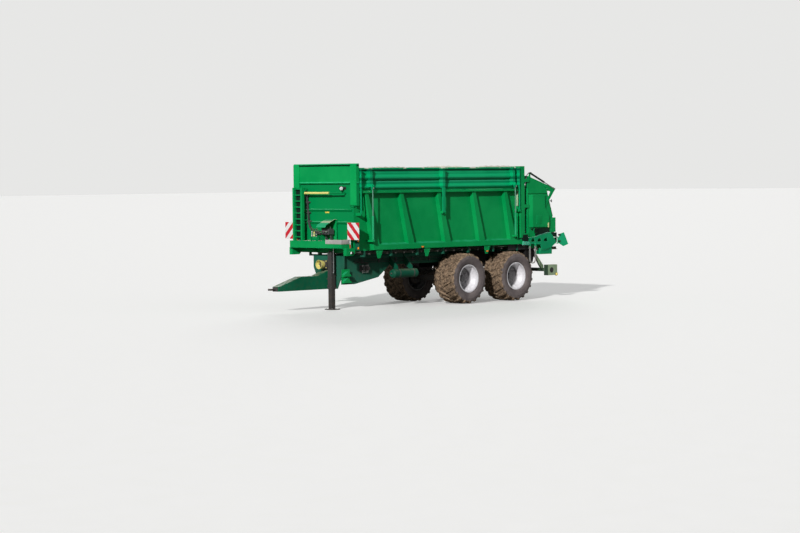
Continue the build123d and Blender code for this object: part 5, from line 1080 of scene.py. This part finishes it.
for side in SIDES:
    # Rubber aprons under the rear of the floor
    apron = Piece("floor_apron_{}", side)
    for k in range(6):
        x = -2.92 - 0.175 * k
        apron.box((x - 0.170, 1.085, 1.462 + 0.006 * (k % 2)), (x, 1.093, 1.618), 0.002)
        apron.bolt((x - 0.085, 1.093, 1.600), OUTWARD, 0.007)
    apron.finish(hose_black)
    # A near-black plate where the side of the housing looks black
    dark_plate = Piece("housing_dark_plate_{}", side)
    dark_plate.sheet(DARK_PLATE_OUTLINE, 1.241, 1.249)
    dark_plate.side_bolts(1.249, ((-3.80, 2.055), (-4.05, 2.055), (-4.30, 2.055), (-4.50, 2.055), (-4.50, 1.96)),
                    0.008)
    dark_plate.finish(dark_seal_and_painted_shade)
    cap = Piece("beater_cap_{}", side)
    cap.rod((CAP_X, 1.262, CAP_Z), (CAP_X, 1.276, CAP_Z), 0.086, 32, bevel=0.004)
    turns = [math.tau * (k + 0.5) / 6 for k in range(6)]
    places = [(CAP_X + CAP_BOLTS * math.cos(turn), CAP_Z + CAP_BOLTS * math.sin(turn)) for turn in turns]
    cap.side_bolts(1.276, places, 0.007)
    cap.finish(dark_seal_and_painted_shade)
    gusset = Piece("housing_gusset_{}", side)
    gusset.sheet(GUSSET, 1.2415, 1.2515)
    gusset.rod((-3.840, 1.252, 1.985), (-3.930, 1.252, 1.83), 0.008, 8)
    gusset.finish(green)
    # A pale rod along the deflector's top edge: a painted highlight
    rim = Piece("deflector_edge_highlight_{}", side)
    rim.pipe([(x, 1.2655, z) for x, z in DEFLECTOR_TOP], 0.008, 8)
    rim.finish(rail_pale)
    pad = Piece("post_foot_pad_{}", side)
    pad.sheet(FOOT_PAD, 1.238, 1.288)
    pad.side_bolts(1.288, ((-3.40, 1.87), (-3.52, 1.87), (-3.53, 1.74)), 0.009)
    pad.finish(dark_seal_and_painted_shade)
    tip = Piece("rail_tip_{}", side)
    tip.sheet(RAIL_TIP, 1.236, 1.300)
    tip.side_bolts(1.300, ((-3.43, 1.655), (-3.55, 1.655)), 0.010)
    tip.finish(rail_pale)
    reflector = Piece("housing_reflector_{}", side)
    reflector.box((-4.462, 1.3003, 2.100), (-4.420, 1.3080, 2.235), 0.003)
    reflector.finish(label_pale)
    # Mudflap behind the wheels: a sheet across and one along, hung from the floor
    flap = Piece("rear_mudflap_{}", side)
    flap.box((-3.706, 0.630, 1.040), (-3.696, 1.090, 1.500), 0.003)
    flap.sheet(MUDFLAP, 1.080, 1.088)
    for k in range(4):
        flap.post(-3.708, 0.70 + 0.10 * k, 1.080, 1.440, 0.006, 6)
    flap.finish(flap_rubber)
    # Near-black strips inside the wheels: painted shade, a dark backdrop between the wheels
    skirt = Piece("wheel_arch_shade_strip_{}", side)
    for k in range(10):
        x = -0.98 - 0.195 * k
        inner = 0.627 + 0.004 * (k % 2)
        skirt.box((x - 0.205, inner, 0.985 + 0.008 * (k % 3)), (x, inner + 0.005, 1.470), 0.002)
        skirt.bolt((x - 0.10, 0.632, 1.440), OUTWARD, 0.009)
    skirt.finish(flap_rubber)
    # Black block that the wing's hinge is bolted to, and the clamps on the wing
    block = Piece("wing_hinge_block_{}", side)
    block.box((-4.842, 1.196, 1.812), (-4.660, 1.262, 1.935), 0.008)
    block.box((-4.842, 1.196, 1.632), (-4.765, 1.262, 1.780), 0.008)
    block.post(-4.853, 1.236, 1.640, 1.930, 0.022, 12, bevel=0.003)
    block.side_bolts(1.262, [(-4.80, z) for z in (1.66, 1.75, 1.84, 1.905)], 0.009)
    block.finish(dark_seal_and_painted_shade)
    clamps = Piece("wing_clamps_{}", side)
    for z in (1.675, 1.865):
        clamps.box((-4.985, 1.2885, z - 0.025), (-4.880, 1.296, z + 0.025), 0.003)
        clamps.side_bolts(1.296, ((-4.91, z), (-4.96, z)), 0.008)
    clamps.finish(black_plastic, "wing_" + side)

# Lime that has dried on along the top of the boards, in two long heaps with thin leavings between them
BOARD_TOP = 3.8795
HEAP_XS = (-0.30, -2.32)
HEAP_REACH, HEAP_SLOPE, LEAVINGS = 0.72, 0.16, 0.12
FOLD_EYE_XS, FOLD_EYE_Z = (2.745, -2.975), 3.322
for side in SIDES:
    crust = Piece("lime_crust_{}", side)
    rows = []
    for k in range(121):
        x = 1.15 - 0.036 * k
        heap = max(LEAVINGS, *(min(1.0, (HEAP_REACH - abs(x - peak)) / HEAP_SLOPE) for peak in HEAP_XS))
        height = 0.005 + heap * (0.032 + 0.008 * math.sin(k * 0.9) + 0.004 * math.sin(k * 2.3 + 1.0))
        middle = 1.152 + 0.008 * math.sin(k * 0.53)
        profile = ((-0.024, -0.002), (-0.015, 0.65 * height), (0.0, height), (0.017, 0.6 * height),
                   (0.026, -0.002))
        rows.append([(x, middle + across, BOARD_TOP + up) for across, up in profile])
    crust.loft(rows)
    crust.finish(lime_dry, "board_" + side)
    pins = Piece("fold_pins_{}", side)
    for x in FOLD_EYE_XS:
        pins.rod((x, 1.3795, FOLD_EYE_Z), (x, 1.390, FOLD_EYE_Z), 0.020, 12, bevel=0.003)
    pins.finish(zinc, "board_" + side)

# Sleeves and bands of the gate's cylinders, and bolts and lid of the spreader housing
GATE_X, GATE_Y = POST_X - 0.048, 1.18
FEED_Y = 1.262
COVER_BOLTS = ((0.36, 3.030), (0.60, 3.030), (0.83, 3.030), (0.83, 2.80), (0.93, 2.55), (1.01, 2.36),
               (1.01, 2.15), (0.80, 2.15), (0.58, 2.15), (0.36, 2.15))
FOOT_BOLTS = ((1.21, 2.30), (1.33, 2.30), (1.33, 2.02), (1.20, 2.02))
for side in SIDES:
    sleeve = Piece("gate_cylinder_sleeve_{}", side)
    for low, high in ((1.815, 1.980), (2.020, 2.640), (2.682, 3.325)):
        sleeve.post(GATE_X, GATE_Y, low, high, 0.0435, 24, bevel=0.003)
    sleeve.pipe([(GATE_X - 0.004, GATE_Y + dy, z) for dy, z in ((0.052, 1.86), (0.056, 2.0), (0.056, 3.25))],
                0.006, 8, 3)
    sleeve.finish(black_plastic)
    bands = Piece("gate_cylinder_bands_{}", side)
    for z in (1.998, 2.661, 3.332):
        bands.post(GATE_X, GATE_Y, z - 0.014, z + 0.014, 0.047, 24, bevel=0.003)
    bands.side_bolts(GATE_Y + 0.044, [(GATE_X, z) for z in (1.835, 1.998, 2.661, 3.25)], 0.013)
    bands.finish(zinc)
    # Pipe over the post to the flap's cylinder
    feed = Piece("flap_feed_pipe_{}", side)
    bends = ((0.075, 3.50), (0.10, 3.63), (0.19, 3.705), (0.245, 3.715))
    over = [(POST_X - back, FEED_Y, z) for back, z in bends]
    feed.pipe([(GATE_X, GATE_Y + 0.050, 3.26), (GATE_X, GATE_Y + 0.085, 3.34), *over], 0.010, 10, 6)
    feed.finish(hose_black)
    bolts = Piece("housing_bolts_{}", side)
    bolts.side_bolts(DRIVE_COVER_Y, [(POST_X - back, z) for back, z in COVER_BOLTS], 0.008)
    bolts.side_bolts(CHEEK_Y, [(POST_X - 0.180, 1.95 + 0.215 * k) for k in range(8)], 0.009)
    bolts.side_bolts(CHEEK_Y, [(POST_X - back, z) for back, z in FOOT_BOLTS], 0.010)
    bolts.finish(green)
    lid = Piece("drive_lid_{}", side)
    lid.box((POST_X - 0.70, DRIVE_COVER_Y - 0.0002, 2.20), (POST_X - 0.46, DRIVE_COVER_Y + 0.004, 2.46),
            0.0015)
    lid.side_bolts(DRIVE_COVER_Y + 0.004,
                   [(POST_X - back, z) for back in (0.68, 0.48) for z in (2.22, 2.44)], 0.006)
    lid.finish(green)
    # Latch handle of the rear flap
    knob = Piece("flap_knob_{}", side)
    knob.pipe([(POST_X - 1.115, 1.17, 2.87), (POST_X - 1.20, 1.185, 2.875), (POST_X - 1.265, 1.185, 2.870)],
              0.009)
    knob.post(POST_X - 1.262, 1.185, 2.830, 2.915, 0.016, 14, bevel=0.006)
    knob.finish(black_plastic, "flap")


def add_floor():
    """A wide pale floor, bright to the camera and darker where it lights the machine."""
    reach = 400.0
    corners = [(-reach, -reach, 0), (reach, -reach, 0), (reach, reach, 0), (-reach, reach, 0)]
    mesh = bpy.data.meshes.new("floor")
    mesh.from_pydata(corners, [], [(0, 1, 2, 3)])
    floor = bpy.data.objects.new("floor", mesh)
    scene.collection.objects.link(floor)
    material, n = new_material("floor_pale")
    seen = n.add("LightPath").outputs["Is Camera Ray"]
    mottled = n.mix(n.noise(n.position(), 2.0, 5.0), (0.80, 0.79, 0.77), (0.86, 0.85, 0.83))
    shader = n.shader(n.mix(seen, (0.22, 0.21, 0.19), mottled), 0.9, specular=0.1)
    n.put(shader.inputs["Emission Color"], (1.0, 0.99, 0.97))
    n.link(n.times(seen, 0.20), shader.inputs["Emission Strength"])
    mesh.materials.append(material)


def add_world():
    """A pale background for the camera, and plain grey light from all round."""
    world = bpy.data.worlds.new("studio")
    scene.world = world
    world.use_nodes = True
    n = Nodes(world.node_tree)
    path = n.add("LightPath").outputs
    seen = n.math("MAXIMUM", path["Is Camera Ray"], path["Is Transmission Ray"])
    background = n.add("Background")
    n.link(n.mix(seen, (0.20, 0.21, 0.22), (0.80, 0.80, 0.79)), background.inputs["Color"])
    n.link(background.outputs[0], n.add("OutputWorld").inputs["Surface"])


add_floor()
add_world()

bpy.context.view_layer.update()
